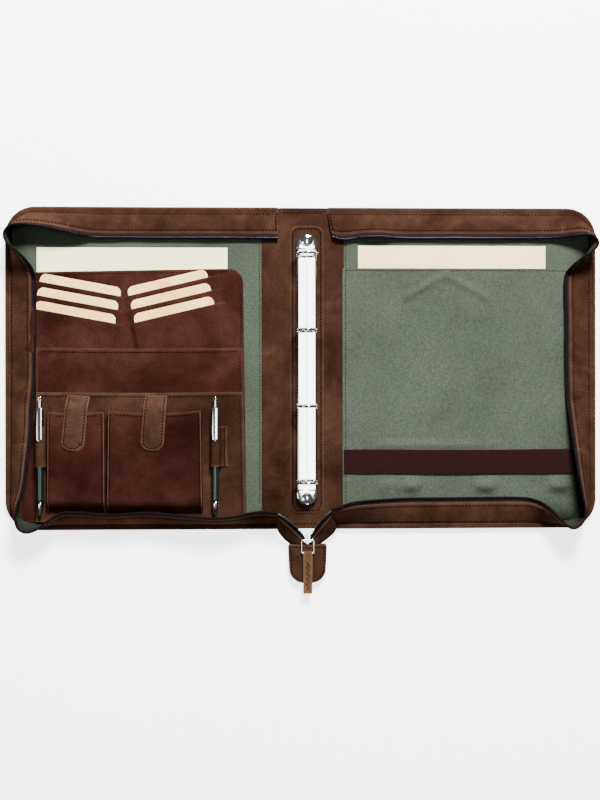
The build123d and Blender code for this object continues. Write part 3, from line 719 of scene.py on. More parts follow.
def make_linings():
    """Green twill on both covers, sewn down along the leather facing."""
    margin = 4.0
    start, end = FACING_X + 0.2, HALF_W - margin
    for side in (-1, 1):
        name = side_name(side)
        g = plan_grid(
            on_side(side, np.linspace(start, end, 90)),
            np.linspace(-EDGE_Y + margin, EDGE_Y - margin, 110),
            INSIDE_Z - 0.35,
        )
        g[..., 2] += 0.12 * wave(g[..., 0], g[..., 1], 5 + side, 60)
        for hand in (-1, 1):
            middle = (side * (HALF_W - CORNER_R), hand * (EDGE_Y - CORNER_R))
            round_corner(g, *middle, CORNER_R - margin)
        # painted shade, darkening the twill out from the facing towards the walls, but hardly in the
        # top outer corner
        out = np.abs(g[..., 0])
        shade_relief = smooth_step((out - 225) / 30) * smooth_step((g[..., 1] - 110) / 30)
        painted_wall_shade = smooth_step((out - FACING_X - 12) / 20) * (1 - 0.75 * shade_relief)
        lining = Piece(f"{name}_twill_lining")
        sheet(lining, g, 0.7, 0.4, 15.0, edge_mark=painted_wall_shade)
        made = lining.finish(TWILL, f"{name}_cover", [f"{name}_lining"])
        x = side * (FACING_X + 2.2)
        line = [(x, y, INSIDE_Z + 0.1) for y in (28 - EDGE_Y, EDGE_Y - 30)]
        sew(
            f"{name}_facing_stitches", f"{name}_cover", line,
            thread=LINING_THREAD, slot="lining", **LINING_STITCH,
        )


# ---------------------------------------------------------------- gusset and zip
SEAM_START = 26.0                      # the seam line starts this far from the spine's middle
SEAM_TOP = EDGE_Y - SEAM
SEAM_OUT = HALF_W - SEAM
SEAM_R = CORNER_R - SEAM
RUN_TOP = SEAM_OUT - SEAM_R - SEAM_START
RUN_ARC = SEAM_R * math.pi / 2
RUN_SIDE = 2 * (SEAM_TOP - SEAM_R)
SEAM_ENDS = np.cumsum([RUN_TOP, RUN_ARC, RUN_SIDE, RUN_ARC])
SEAM_LENGTH = SEAM_ENDS[3] + RUN_TOP
LAP_PLACE = SEAM_ENDS[1] + RUN_SIDE / 2   # a lap joint halfway down each outer side
WALL = 26.6                            # seam to zip teeth, up the gusset
LEATHER_SHARE = 0.83                   # of that height, the leather
TOOTH_PITCH = 2.6

# The zip's line in plan, as listed points: (distance along the seam, out from the spine, up).
ZIP_LINE = {
    -1: [
        (0, 26, 137), (80, 106, 137), (150, 176, 137), (200, 226, 138), (229, 253, 143),
        (250, 270.5, 146.5), (262, 282, 147.8), (271, 292.5, 148.5), (280, 303, 146.5),
        (287, 308.5, 140.5), (294, 308.0, 133.0), (303, 301, 124.5), (313, 291, 116),
        (324, 283.5, 106.5), (336, 280.6, 97),
        (350, 280.2, 84), (400, 280.2, 34), (450, 280.5, -16), (472, 282, -38),
        (500, 283, -66), (530, 286, -96), (560, 290.5, -127), (578, 296.5, -146),
        (590, 297.5, -158), (599, 294, -166.5), (608, 286, -170.0), (617, 276, -167),
        (628, 264.5, -158.5), (640, 253.5, -151), (660, 234.5, -149.5), (691, 203.5, -152),
        (733, 161.5, -150), (775, 119.5, -154), (801, 93.5, -156), (822, 72, -154.5), (838, 56, -151),
        (851, 43, -149.5), (SEAM_LENGTH, 27, -151),
    ],
    1: [
        (0, 31.5, 138), (18, 44.6, 135.5), (32, 57, 137.5), (50, 75, 138.5), (77, 102, 137.5),
        (130, 155, 137.5), (184, 209, 137.5), (225, 250, 137.8), (250, 274, 138.3),
        (262, 288, 139.8), (273, 300, 139.8), (282, 308, 136), (290, 309.5, 129.5),
        (300, 302.5, 121.5), (311, 291, 113.5), (322, 282.5, 105), (334, 279.0, 96),
        (350, 278.4, 82),
        (387, 279.2, 51), (430, 279.2, 9), (472, 280.5, -33), (514, 284.5, -75),
        (546, 288.5, -107), (572, 292.5, -132), (586, 295, -149), (597, 292.5, -161),
        (605, 286, -167.5), (613, 278.5, -167.5), (621, 271, -161.5), (632, 262.5, -151.5),
        (642, 254, -143.5), (654, 243, -138.8), (668, 229, -137.6), (705, 189, -137.5),
        (747, 147, -137.7), (790, 104, -138), (822, 72, -139.5), (843, 51, -141.5),
        (SEAM_LENGTH, 29, -148),
    ],
}


def seam_at(side, s):
    """The seam line's points, and the direction into the case, at distances s along it."""
    s = np.asarray(s, float)
    x = np.zeros_like(s)
    y = np.zeros_like(s)
    inward = np.zeros(s.shape + (2,))
    cx, cy = SEAM_OUT - SEAM_R, SEAM_TOP - SEAM_R
    ends = SEAM_ENDS
    for k, value in enumerate(s):
        if value <= ends[0]:
            x[k], y[k], inward[k] = SEAM_START + value, SEAM_TOP, (0, -1)
        elif value <= ends[1]:
            a = (value - ends[0]) / SEAM_R
            x[k], y[k] = cx + SEAM_R * math.sin(a), cy + SEAM_R * math.cos(a)
            inward[k] = (-math.sin(a), -math.cos(a))
        elif value <= ends[2]:
            x[k], y[k], inward[k] = SEAM_OUT, cy - (value - ends[1]), (-1, 0)
        elif value <= ends[3]:
            a = (value - ends[2]) / SEAM_R
            x[k], y[k] = cx + SEAM_R * math.cos(a), -cy - SEAM_R * math.sin(a)
            inward[k] = (-math.cos(a), math.sin(a))
        else:
            x[k], y[k], inward[k] = cx - (value - ends[3]), -SEAM_TOP, (0, 1)
    return np.column_stack([side * x, y]), inward * [side, 1]


def wall_grid(side, s, share):
    """The gusset's middle surface: straight rules from the seam to the zip, a little bowed."""
    foot, inward = seam_at(side, s)
    stations = np.array(ZIP_LINE[side], float)
    zip_x = side * curve_through(stations[:, 0], stations[:, 1], s)
    zip_y = curve_through(stations[:, 0], stations[:, 2], s)
    foot = np.column_stack([foot, np.full(len(s), FLANGE_Z - 0.7)])
    reach = np.hypot(zip_x - foot[:, 0], zip_y - foot[:, 1])
    rise = np.sqrt(np.maximum(WALL**2 - reach**2, 3.5**2))
    rise = rise + 0.35 * np.sin(s / 23.0 + side) + 0.2 * np.sin(s / 9.1)
    tip = np.column_stack([zip_x, zip_y, foot[:, 2] + rise])
    span = tip - foot
    out = np.column_stack([-inward, np.zeros(len(s))])
    lift = unit_rows(np.cross(np.gradient(foot + span * 0.5, axis=0), span))
    flip = np.sign(np.sum(lift * (out + [0, 0, 1.0]), axis=1, keepdims=True))
    lift = lift * np.where(flip == 0, 1, flip)
    j = np.asarray(share, float)
    bow = 1.5 * np.sin(np.clip(j / LEATHER_SHARE, 0, 1) * math.pi)
    grid = foot[:, None] + span[:, None] * j[None, :, None] + lift[:, None] * bow[None, :, None]
    uneven = 0.35 * wave(s[:, None] + 0 * j[None], 30 * j[None] + 0 * s[:, None], 2 + side, 26)
    return grid + lift[:, None] * (uneven * np.sin(j * math.pi)[None])[..., None], lift


def gusset_run(side, tag, s0, s1, body, replaces=()):
    """One stretch of gusset: leather, lining, zip tape, teeth and its rows of stitches."""
    name = f"{side_name(side)}_{tag}"
    s = s0 + (s1 - s0) * np.linspace(0, 1, max(int((s1 - s0) / 2.6), 6))
    share = rounded_steps(WALL * LEATHER_SHARE, 2.4, 0.9) * LEATHER_SHARE
    g, lift = wall_grid(side, s, share)
    lap = 0.5 * smooth_step((s - LAP_PLACE) / 0.8) * smooth_step((LAP_PLACE + 9 - s) / 3)
    order = rows_facing(g, lift[len(s) // 2])
    leather = Piece(f"{name}_gusset_leather")
    edge_mark = np.broadcast_to(smooth_step((share - 0.5) / 0.2)[None], g.shape[:2])
    lift_by = np.broadcast_to(lap[:, None], g.shape[:2])
    sheet(leather, g[order], 1.6, 0.9, lift=lift_by[order], edge_mark=edge_mark[order])
    leather.finish(LEATHER, body, replaces[:1])

    inside = g - lift[:, None] * 1.2
    cloth = Piece(f"{name}_gusset_lining")
    # painted shade: the twill inside the wall is darkened nearly all over
    sheet(cloth, inside[order], 0.5, 0.3, 60.0, edge_mark=0.85)
    made = cloth.finish(TWILL, body)

    border = Piece(f"{name}_tape_edge")
    strip, _ = wall_grid(side, s, np.linspace(LEATHER_SHARE - 0.05, 0.90, 4))
    sheet(border, strip[order], 0.8, 0.3)
    border.finish(TAPE_EDGE, body)
    tape = Piece(f"{name}_tape")
    strip, _ = wall_grid(side, s, np.linspace(0.89, 0.99, 4))
    sheet(tape, strip[order], 0.9, 0.3)
    tube(tape, strip[:, 3], 1.2, 8)
    tape.finish(TAPE, body, replaces[1:])

    chain = Piece(f"{name}_teeth")
    fine = np.linspace(s0, s1, max(int((s1 - s0) / 0.6), 6))
    edge, edge_lift = wall_grid(side, fine, np.array([0.93, 1.0]))
    tooth_row(chain, edge[:, 0], edge[:, 1], edge_lift)
    chain.finish(TEETH, body)

    lines = []
    for height, raised in ((LEATHER_SHARE - 0.135, 0.85), (0.05, 0.8)):
        row, row_lift = wall_grid(side, s, np.array([height]))
        lines.append((row[:, 0] + row_lift * raised, row_lift))
    if s0 < LAP_PLACE < s1:
        row, row_lift = wall_grid(side, np.full(2, LAP_PLACE + 1.6), np.array([0.04, 0.76]))
        lines.append((row[0] + row_lift[0] * 1.3, np.tile(row_lift[0], (2, 1))))
    if s0 == 0:
        heights = np.linspace(0.1, 0.68, 12)
        row, row_lift = wall_grid(side, np.array([2.4, 3.0, 3.6]), heights)
        lines.append((row[0] + row_lift[0] * 1.9, np.tile(row_lift[0], (12, 1))))
    sew(f"{name}_stitches", body, *lines)


# a tooth's outline: (past the chain's line, half along it, half its height)
TOOTH_SHAPE = ((-1.1, 0.3, 0.9), (-0.3, 0.36, 1.1), (0.3, 0.40, 0.9), (0.7, 0.3, 0.5))


def tooth_row(piece, inner, outer, lift):
    """Zip teeth along the line outer: small waisted blocks that point away from inner."""
    run, tangent = along(np.column_stack([outer, outer - inner, lift]), TOOTH_PITCH)
    for row, direction in zip(run, tangent):
        ahead, out, up = unit(direction[:3]), unit(row[3:6]), unit(row[6:9])
        verts = []
        for reach, wide, high in TOOTH_SHAPE:
            middle = row[:3] + out * reach
            for a, b in ((-1, -1), (1, -1), (1, 1), (-1, 1)):
                verts.append(middle + ahead * a * wide + up * b * high)
        faces = grid_faces(4, 4, wrap=True) + [(3, 2, 1, 0), (12, 13, 14, 15)]
        piece.add(verts, faces)


def make_flange(side):
    """The gusset's edge, sewn flat on the cover's rim, and the cut edges under it."""
    name = side_name(side)
    foot, inward = seam_at(side, np.linspace(0, SEAM_LENGTH, 330))

    def band(section):
        g = np.zeros((len(foot), len(section), 3))
        for k, (place, z) in enumerate(section):
            g[:, k, :2] = foot - inward * (SEAM - place)
            g[:, k, 2] = z
        return g

    width = SEAM + 0.9
    section = []
    for place in rounded_steps(width, 1.0, 0.8) * width:
        droop = 0.9 * math.exp(-place / 1.2) + 0.55 * math.exp(-((place - SEAM) ** 2))
        section.append((place, FLANGE_Z - 0.65 - droop))
    g = band(section)
    g[..., 2] += 0.12 * wave(g[..., 0], g[..., 1], 9, 18)
    order = rows_facing(g)
    flange = Piece(f"{name}_flange_leather")
    sheet(flange, g[order], 1.3)
    flange.finish(LEATHER, f"{name}_cover", [f"{name}_gusset_border"])
    rim = Piece(f"{name}_rim_leather")
    cut_edges = band(((0.4, 1.0), (0.0, 1.8), (0.0, 3.0), (0.5, 4.4), (2.5, 4.9)))
    sheet(rim, cut_edges[order], 0.8)
    rim.finish(LEATHER, f"{name}_cover")


def make_gussets():
    """All walls and corners: the walls bound to what they move with, the corners' pieces with their
    transforms only baked in.
    """
    # how far the walls stop short of the corner arcs: on the top or bottom run, on the outer side
    short = {
        -1: {"top": (35.0, 10.0), "bottom": (10.0, 60.0)},
        1: {"top": (4.0, 12.0), "bottom": (25.0, 50.0)},
    }
    edges = ("top", "outer", "bottom")
    for side in (-1, 1):
        name = side_name(side)
        top, bottom = short[side]["top"], short[side]["bottom"]
        first, second = SEAM_ENDS[0] - top[0], SEAM_ENDS[1] + top[1]
        third, fourth = SEAM_ENDS[2] - bottom[1], SEAM_ENDS[3] + bottom[0]
        walls = [f"{name}_{edge}_wall" for edge in edges]
        make_flange(side)
        spans = ((0, first), (second, third), (fourth, SEAM_LENGTH))
        for edge, wall, (s0, s1) in zip(edges, walls, spans):
            gusset_run(side, edge, s0, s1, wall, [f"{name}_{edge}_gusset", f"{name}_{edge}_zip"])
        corners = (
            ("top_corner", first, SEAM_ENDS[:2].mean(), second, walls[0], walls[1]),
            ("bottom_corner", third, SEAM_ENDS[2:].mean(), fourth, walls[1], walls[2]),
        )
        for tag, s0, middle, s1, before, after in corners:
            points, _ = seam_at(side, np.array([s0, middle, s1]))
            here = [(*p, FLANGE_Z) for p in points]
            cover = f"{name}_cover"
            gusset_run(side, f"{tag}_a", s0, middle, (before, cover, here[0], here[1]))
            gusset_run(side, f"{tag}_b", middle, s1, (cover, after, here[1], here[2]))
        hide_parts(f"{name}_corner_zips")


# ---------------------------------------------------------------- zip tail
TAIL_X, _ = middle_and_half("zip_slider")
TAIL_RUNS = {
    # side: outer edge of the leather, then the zip's line, both from the cover to the slider
    -1: (
        [(-27, -164, 5), (-27, -169, 5.5), (-24.5, -175, 5.2), (-19.5, -181, 4.8),
         (-13, -186, 4.6), (-6, -189, 4.4)],
        [(-28, -150.8, 27), (-20, -155.5, 25), (-12, -162, 21), (-5.5, -168.5, 15.5),
         (-0.5, -174.5, 10), (TAIL_X - 2.2, -180.5, 6.6)],
    ),
    1: (
        [(31, -163, 5), (35, -167.5, 5.5), (33.5, -173, 5.2), (28, -178.5, 4.8),
         (21, -184, 4.6), (14, -189, 4.4)],
        [(31, -147.5, 25), (24, -153, 23.5), (17, -160.5, 20), (12.5, -167.5, 15),
         (9, -174, 10), (TAIL_X + 2.2, -180.5, 6.6)],
    ),
}


def tail_line(points, t):
    """A smooth line through listed places, read at shares t of its run."""
    p = np.array(points, float)
    k = np.linspace(0, 1, len(p))
    return np.column_stack([curve_through(k, p[:, c], t) for c in range(3)])


def make_tail():
    """The gusset's two ends, which run off the spine's foot to the closed end of the zip."""
    for side in (-1, 1):
        name = side_name(side)
        outer, zipped = TAIL_RUNS[side]
        t = np.linspace(0, 1, 26)
        low, high = tail_line(outer, t), tail_line(zipped, t)
        span = high - low
        up = unit_rows(np.cross(np.gradient(low, axis=0), span))
        up *= np.sign(up[:, 2:3])
        body = (f"{name}_cover", "spine", (side * 26, -166, 5), (side * 14, -174, 5))

        def surface(share):
            share = np.asarray(share)
            bow = 2.2 * np.sin(np.clip(share, 0, 1) * math.pi)
            return low[:, None] + span[:, None] * share[:, None] + up[:, None] * bow[:, None]

        g = surface(rounded_steps(20, 2.0, 0.8) * 0.8)
        order = rows_facing(g)
        strip = Piece(f"{name}_tail_leather")
        sheet(strip, g[order], 1.5)
        strip.finish(LEATHER, body, ["tail_strips"] if side < 0 else [])
        tape = Piece(f"{name}_tail_tape")
        sheet(tape, surface(np.linspace(0.72, 0.98, 5))[order], 0.8, 0.3)
        tape.finish(TAPE, body)
        chain = Piece(f"{name}_tail_teeth")
        edge = surface([0.93, 1.0])
        tooth_row(chain, edge[:, 0], edge[:, 1], up)
        chain.finish(TEETH, body)
        lines = [(surface([share])[:, 0] + up * 0.8, up) for share in (0.68, 0.1)]
        sew(f"{name}_tail_stitches", body, *lines)

    closed = Piece("tail_closed_chain")
    for hand in (-1, 1):
        y = np.linspace(-184.5, -200, 20)
        line = np.column_stack([np.full(20, TAIL_X + hand), y, np.full(20, 4.2)])
        tooth_row(closed, line + [hand, 0, 0], line, np.tile([0, 0, 1.0], (20, 1)))
        tape_x = TAIL_X + on_side(hand, np.linspace(1.4, 6.4, 4))
        sheet(closed, plan_grid(tape_x, np.linspace(-216, -176, 8), 3.9), 0.6, 0.3)
    closed.finish(TAPE, "spine", ["tail_zip_tapes"])


def make_end_patch():
    """The leather that covers the zip's end: two layers, sewn round the edge."""
    low, high = node_box("end_patch")
    cx, half = middle_and_half("end_patch")
    top, bottom = high[1], low[1]
    r, corner = 15.5, 2.6
    outline = np.concatenate(
        [
            arc(cx - half + r + 1, bottom + r, r, 180, 270, 12),
            arc(cx + half - r - 1, bottom + r, r, 270, 360, 12),
            [(cx + half - 0.6, bottom + 24), (cx + half, top - 4)],
            arc(cx + half - corner, top - corner, corner, 0, 90, 5),
            [(cx + half - 9, top - 0.2), (cx, top - 0.9), (cx - half + 9, top - 0.2)],
            arc(cx - half + corner, top - corner, corner, 90, 180, 5),
            [(cx - half, top - 4), (cx - half + 0.6, bottom + 24)],
        ]
    )
    patch = Piece("end_patch_leather")
    for layer_low, layer_high in ((5.6, 7.8), (0.1, 2.2)):
        plate(patch, outline, layer_low, layer_high, 0.8)
    patch.finish(LEATHER, "spine", ["end_patch"])
    sew("end_patch_stitches", "spine", seam_path(outline, 2.6, 7.95))


def make_pull_tab():
    """The folded tan strip in the pull ring, with a zigzag down its middle."""
    low, high = node_box("pull_tab")
    cx, half = middle_and_half("pull_tab")
    half -= 0.2
    end = low[1]
    bar = node_box("pull_ring")[0][1] + 0.8
    z = (low[2] + high[2]) / 2
    # one strip that goes out below, round the bar and back on top
    upper = [(end + 0.3, z + 1.25), (bar - 10, z + 1.2), (bar - 5, z + 1.35)]
    turns = np.linspace(0, math.pi, 9)
    loop = [(bar + 1.45 * math.sin(a), z + 1.45 * math.cos(a)) for a in turns]
    lower = [(bar - 5, z - 1.35), (bar - 10, z - 1.2), (end + 0.6, z - 1.25)]
    profile = np.array(upper + loop + lower)
    taper = np.interp(profile[:, 0], [end, bar], [0.94, 1.0])
    places = (rounded_steps(2 * half, 1.6, 0.7) * 2 - 1) * half
    g = np.zeros((len(profile), len(places), 3))
    g[..., 0] = cx + taper[:, None] * places
    g[..., 1] = profile[:, :1]
    g[..., 2] = profile[:, 1:]
    strip = Piece("pull_tab_leather")
    sheet(strip, g[rows_facing(g, row=0)], 1.1, 0.5)
    strip.finish(PULL_LEATHER, "pull_tab", ["pull_tab"])
    y = np.arange(bar - 9, end + 3, -3.0)
    zigzag = [(cx + (1.7 if k % 2 else -1.7), v, z + 1.95) for k, v in enumerate(y)]
    sew(
        "pull_tab_stitches", "pull_tab", zigzag,
        slot="pull_leather", pitch=2.3, long=1.9, wide=0.35,
    )


# ---------------------------------------------------------------- ring mechanism
def rounded_box_outline(cx, cy, w, h, r, count=7):
    """A rectangle with round corners, counter-clockwise from its lower right."""
    x, y = w / 2 - r, h / 2 - r
    rising = np.linspace(cy - y, cy + y, 22)[1:-1]
    return np.concatenate(
        [
            arc(cx + x, cy - y, r, -90, 0, count),
            np.column_stack([np.full(20, cx + w / 2), rising]),
            arc(cx + x, cy + y, r, 0, 90, count),
            arc(cx - x, cy + y, r, 90, 180, count),
            np.column_stack([np.full(20, cx - w / 2), rising[::-1]]),
            arc(cx - x, cy - y, r, 180, 270, count),
        ]
    )


def make_mechanism():
    """The sewn patch under the rings, the channel's domed ends and the rivets' heads."""
    low, high = node_box("mechanism_patch")
    cx, cy = (low[0] + high[0]) / 2, (low[1] + high[1]) / 2
    outline = rounded_box_outline(cx, cy, high[0] - low[0], high[1] - low[1], 9.5)
    patch = Piece("mechanism_patch_leather")
    plate(patch, outline, low[2] + 0.1, high[2] - 0.15, 0.7, crown=-0.35, crown_width=4)
    patch.finish(LEATHER, "spine", ["mechanism_patch"])
    sew("mechanism_patch_stitches", "spine", seam_path(outline, 3.0, high[2] - 0.2))

    channel_low, channel_high = node_box("mechanism_channel")
    top = channel_high[2]
    channel_half = (channel_high[0] - channel_low[0]) / 2
    half = channel_half + 0.12          # the caps stand just proud of the channel's sides
    cap_run, rivet_r = 6.5, 5.8
    heads = Piece("mechanism_rivet_heads")
    for hand in (-1, 1):
        end = cy + hand * (channel_high[1] - channel_low[1]) / 2
        turn = end - hand * channel_half
        start = turn - hand * cap_run
        around = np.radians(np.linspace(0, 180, 25)) * hand
        curve = np.column_stack([cx + half * np.cos(around), turn + half * np.sin(around)])
        outline = np.concatenate([[(cx + half, start)], curve, [(cx - half, start)]])
        if hand < 0:
            outline = outline[::-1]
        cap = Piece("channel_end_top" if hand > 0 else "channel_end_foot")
        plate(cap, outline, channel_low[2] + 0.1, top + 0.15, 1.3, 0.3, cap_run)
        cap.finish(CHROME, "spine")
        circle = arc(cx, end - hand * cap_run, rivet_r, 0, 360, 41)[:-1]
        plate(heads, circle, top + 0.1, top + 1.3, 0.4, 1.1, 5.0)
        collar = np.column_stack([circle, np.full(40, top + 0.95)])
        tube(heads, collar, 0.5, 8, closed=True)
    heads.finish(CHROME, "spine", ["mechanism_rivets"])
    groove = Piece("channel_groove")
    line = [(cx, cy + t, top + 0.06) for t in np.linspace(-112, 112, 40)]
    tube(groove, line, 0.32, 8)
    groove.finish(SATIN, "spine")
    repaint("chrome", CHROME)
    repaint("pull_metal", SATIN)


# ---------------------------------------------------------------- left half: organiser
COVER = "left_cover"
PANEL_TOP_Z = node_box("organiser_panel")[1][2]
SLIP_FRONT_Z = node_box("slip_pockets")[1][2]
POCKET_FLOOR_Z = node_box("small_pocket")[0][2]
PANEL_CORNER = (-280.0, -141.0, 22.0)   # middle and radius of the panel's lower outer corner


def make_panel():
    """The organiser's leather back panel, round at its free top corner."""
    low, high = node_box("organiser_panel")
    r = 15.0
    turn = high[0] - r
    x = np.linspace(low[0], high[0], 100)
    y = np.linspace(low[1], high[1], 110)
    x = np.concatenate([x[x < turn], turn + r * np.sin(np.linspace(0, 1, 14) * 1.57)])
    g = plan_grid(x, y)
    up = (y - low[1]) / (high[1] - low[1])
    for k, value in enumerate(x):
        past = max(value - turn, 0)
        corner = r - math.sqrt(max(r * r - past * past, 0))
        top = high[1] - corner - 4.6 * (high[0] - value) / (high[0] - low[0])
        g[k, :, 0] = value + (1 - up) * 3.5 * (k / len(x)) ** 3
        g[k, :, 1] = low[1] + (top - low[1]) * up
    g[..., 2] = PANEL_TOP_Z - 0.35 + 0.1 * wave(g[..., 0], g[..., 1], 4, 55)
    round_corner(g, *PANEL_CORNER)
    panel = Piece("organiser_panel_leather")
    sheet(panel, g, 0.7, 0.6, 1.0)
    panel.finish(RED_LEATHER, COVER, ["organiser_panel"])
    sewing = Piece("organiser_panel_stitches")
    inner = [(p[0] - 3.0, p[1], p[2] + 0.42) for p in g[-1, ::4] if p[1] < high[1] - 20]
    stitches(sewing, inner, sunk=0.3)
    top = [(p[0], p[1] - 3.0, PANEL_TOP_Z + 0.1) for p in g[4:-12:4, -1]]
    stitches(sewing, top, wide=0.5, sunk=0.3)
    sewing.finish(THREAD, COVER)


# each group's top slot: the middle of its mouth, and its turn in degrees
CARD_GROUPS = {"left": (-234.2, 83.1, -10.4), "right": (-141.6, 85.8, 13.3)}
CARD_W, CARD_H, CARD_SHOWN = 85.6, 54.0, 9.4
SLOT_PITCH, SLOT_STEP = 14.6, 1.1


def make_cards():
    """Three cards in each group, and the raised leather slots they stand in."""
    for group, (cx, cy, tilt) in CARD_GROUPS.items():
        turn = math.radians(tilt)
        ax = np.array([math.cos(turn), math.sin(turn)])
        ay = np.array([-math.sin(turn), math.cos(turn)])

        def place(u, v):
            return np.array([cx, cy]) + ax * u + ay * v

        cards = Piece(f"{group}_cards_stock")
        for step in range(3):
            middle = -step * SLOT_PITCH + CARD_SHOWN - CARD_H / 2
            flat = rounded_box_outline(0, middle, CARD_W, CARD_H, 6.2)
            outline = np.array([place(*p) for p in flat])
            z = PANEL_TOP_Z + step * SLOT_STEP
            plate(cards, outline, z + 0.36, z + 0.7, 0.12)
        cards.finish(CARD, f"{group}_cards", [f"{group}_slot_cards"])

        # rows of the slots' surface: a step up at every mouth, then a long fade into the panel
        rows = []
        for step in range(3):
            mouth = -step * SLOT_PITCH
            base, top = step * SLOT_STEP, (step + 1) * SLOT_STEP
            rows += [(mouth + 0.5, base - 0.25, 0.5), (mouth + 0.45, top - 0.35, 1.0),
                     (mouth + 0.15, top - 0.02, 1.0), (mouth - 0.6, top + 0.1, 0.5)]
            rows += [(mouth - d, top + 0.12 - 0.01 * d, 0) for d in (2, 4.5, 7, 9.5, 12)]
        top = 3 * SLOT_STEP
        rows += [(v, top - 0.1 * smooth_step((-41 - v) / 8), 0) for v in range(-43, -76, -3)]
        rows += [(-77, top - 1.4, 0), (-79, -0.3, 0)]
        inner, outer = 7.5, 13.0
        margins = (outer, inner) if group == "left" else (inner, outer)
        half = CARD_W / 2
        out = np.linspace(0.06, 1, 10)
        across = np.concatenate(
            [-half - margins[0] * out[::-1], np.linspace(-half, half, 26), half + margins[1] * out]
        )
        g = np.zeros((len(across), len(rows), 3))
        for i, u in enumerate(across):
            margin = margins[0] if u < 0 else margins[1]
            fade = smooth_step((half + margin - abs(u)) / (margin - 0.4))
            for j, (v, z, _) in enumerate(rows):
                g[i, j, :2] = place(u, v)
                g[i, j, 2] = PANEL_TOP_Z - 0.06 + (z + 0.1) * fade
        wear_and_shade = np.tile([0.55 * w for _, _, w in rows], len(across))
        slots = Piece(f"{group}_card_slots")
        slots.add(g.reshape(-1, 3), grid_faces(len(across), len(rows), flip=True), wear_and_shade)
        replaces = ["card_slots"] if group == "left" else []
        slots.finish(RED_LEATHER, COVER, replaces, sharp=50)


def make_slip_pockets():
    """Two flat pockets, sewn at both sides and the foot, with a hem along each mouth."""
    low, high = node_box("slip_pockets")
    right = high[0] + 0.6
    x = np.concatenate([np.linspace(low[0], right - 14, 76), np.linspace(right - 12, right, 9)])
    lines = []
    layers = (
        ("upper", high[1], SLIP_FRONT_Z - 1.3, RED_LEATHER, ["slip_pockets"]),
        ("lower", high[1] - 46.5, SLIP_FRONT_Z - 0.4, LEATHER, []),
    )
    for layer, (name, top, z, leather, replaces) in enumerate(layers):
        y = low[1] + (top - low[1]) * rounded_steps(top - low[1], 3.0, 0.9)
        g = plan_grid(x, y)
        for k, value in enumerate(x):
            g[k, :, 0] = value + (top - y) / 180 * 3.2 * smooth_step((value + 200) / 130)
            sag = 0.9 * math.sin(math.pi * (value - low[0]) / (right - low[0]))
            g[k, :, 1] = y - sag * smooth_step((y - top + 60) / 60)
        fall = smooth_step((right - g[..., 0] + 3.2 * 0.6) / 11)
        start = PANEL_TOP_Z + 0.5 + 0.8 * layer
        g[..., 2] = start + (z - start) * fall
        g[..., 2] += 0.25 * wave(g[..., 0], g[..., 1], 6, 42) * fall
        front = Piece(f"{name}_slip_pocket")
        sheet(front, g, 0.8, 0.7, 1.1)
        front.finish(leather, COVER, replaces)
        hem = np.argmin(np.abs(y - (top - 2.6)))
        lines += [g[2:-3:3, hem] + [0, 0, 0.45], g[-3, 4:-6:3] + [-0.4, 0, 0.45]]
    sew("slip_pocket_stitches", COVER, *lines)


def make_pocket(name, cad, sag, flare, seed, creases):
    """A gusseted pocket: sides that stand up, a puffed front, and an open mouth.

    Each crease is a soft lump: (across, up from the pocket's middle, size, height).
    """
    low, high = node_box(cad)
    cx, half = middle_and_half(cad)
    cy = (low[1] + high[1]) / 2
    floor, depth = low[2], high[2] - 0.9 - low[2]
    # across the pocket: up one side, over the front, down the other
    r = 2.4
    width = 2 * half - 2 * r
    section = [(-half, t) for t in np.linspace(0.1, depth - r, 5)]
    section += [(-half + r - r * math.cos(a), depth - r + r * math.sin(a))
                for a in np.linspace(0.2, math.pi / 2, 6)]
    side_points = len(section)
    count = max(int(width / 2.6), 6)
    section += [(-half + r + width * t, depth) for t in np.linspace(0, 1, count + 1)[1:-1]]
    section += [(-x, z) for x, z in section[:side_points][::-1]]
    length = high[1] - low[1]
    y = low[1] + length * rounded_steps(length, 2.4, 0.9)
    v = (y - low[1]) / length
    foot = smooth_step((y - low[1] + 1.0) / 13) ** 0.7
    g = np.zeros((len(section), len(y), 3))
    for k, (x, z) in enumerate(section):
        u = x / half
        height = min(z / depth, 1.0)
        front = 1.0 if height > 0.9 else height
        puff = (1 - u * u) * (0.9 * np.sin(v * math.pi) + 0.2)
        ripple = 0.45 * wave(x, y, seed, 17) + 0.3 * wave(x, y, seed + 5, 8)
        rise = (z + (puff + ripple) * front * (height > 0.6)) * foot
        for at_x, at_y, size, high_by in creases:
            off_x, off_y = (x - at_x) / size, (y - at_y - cy) / size / 1.6
            rise = rise + high_by * np.exp(-(off_x**2) - off_y**2) * (height > 0.9)
        droop = sag * (1 - u * u) * smooth_step((y - high[1] + 30) / 30)
        g[k, :, 0] = cx + x * (1 + flare * (1 - v)) - 0.8 * (1 - height) * np.sign(x)
        g[k, :, 1] = y - droop * (height > 0.5)
        g[k, :, 2] = floor + 0.2 + np.maximum(rise, 0.1)
    g = g[rows_facing(g)]
    body = Piece(name)
    sheet(body, g, 1.3, 0.8, 1.0)
    body.finish(RED_LEATHER, COVER, [cad])
    normal = grid_normals(g)
    sewn = g + normal * 0.7
    last = len(section) - 1
    seams = (side_points - 1, last + 1 - side_points)
    lines = [(sewn[k, 4:-4:2], normal[k, 4:-4:2]) for k in seams]
    hem = np.argmin(np.abs(y - (high[1] - 2.7)))
    lines.append((sewn[12:-12, hem], normal[12:-12, hem]))
    sew(f"{name}_stitches", COVER, *lines)
    bead = Piece(f"{name}_edge_bead")
    for k in (8, last - 8):
        tube(bead, (g[k] + normal[k] * 0.45)[2:-4], 0.65, 7, wear_and_shade=1.0)
    bead.finish(FLAP_LEATHER, COVER)


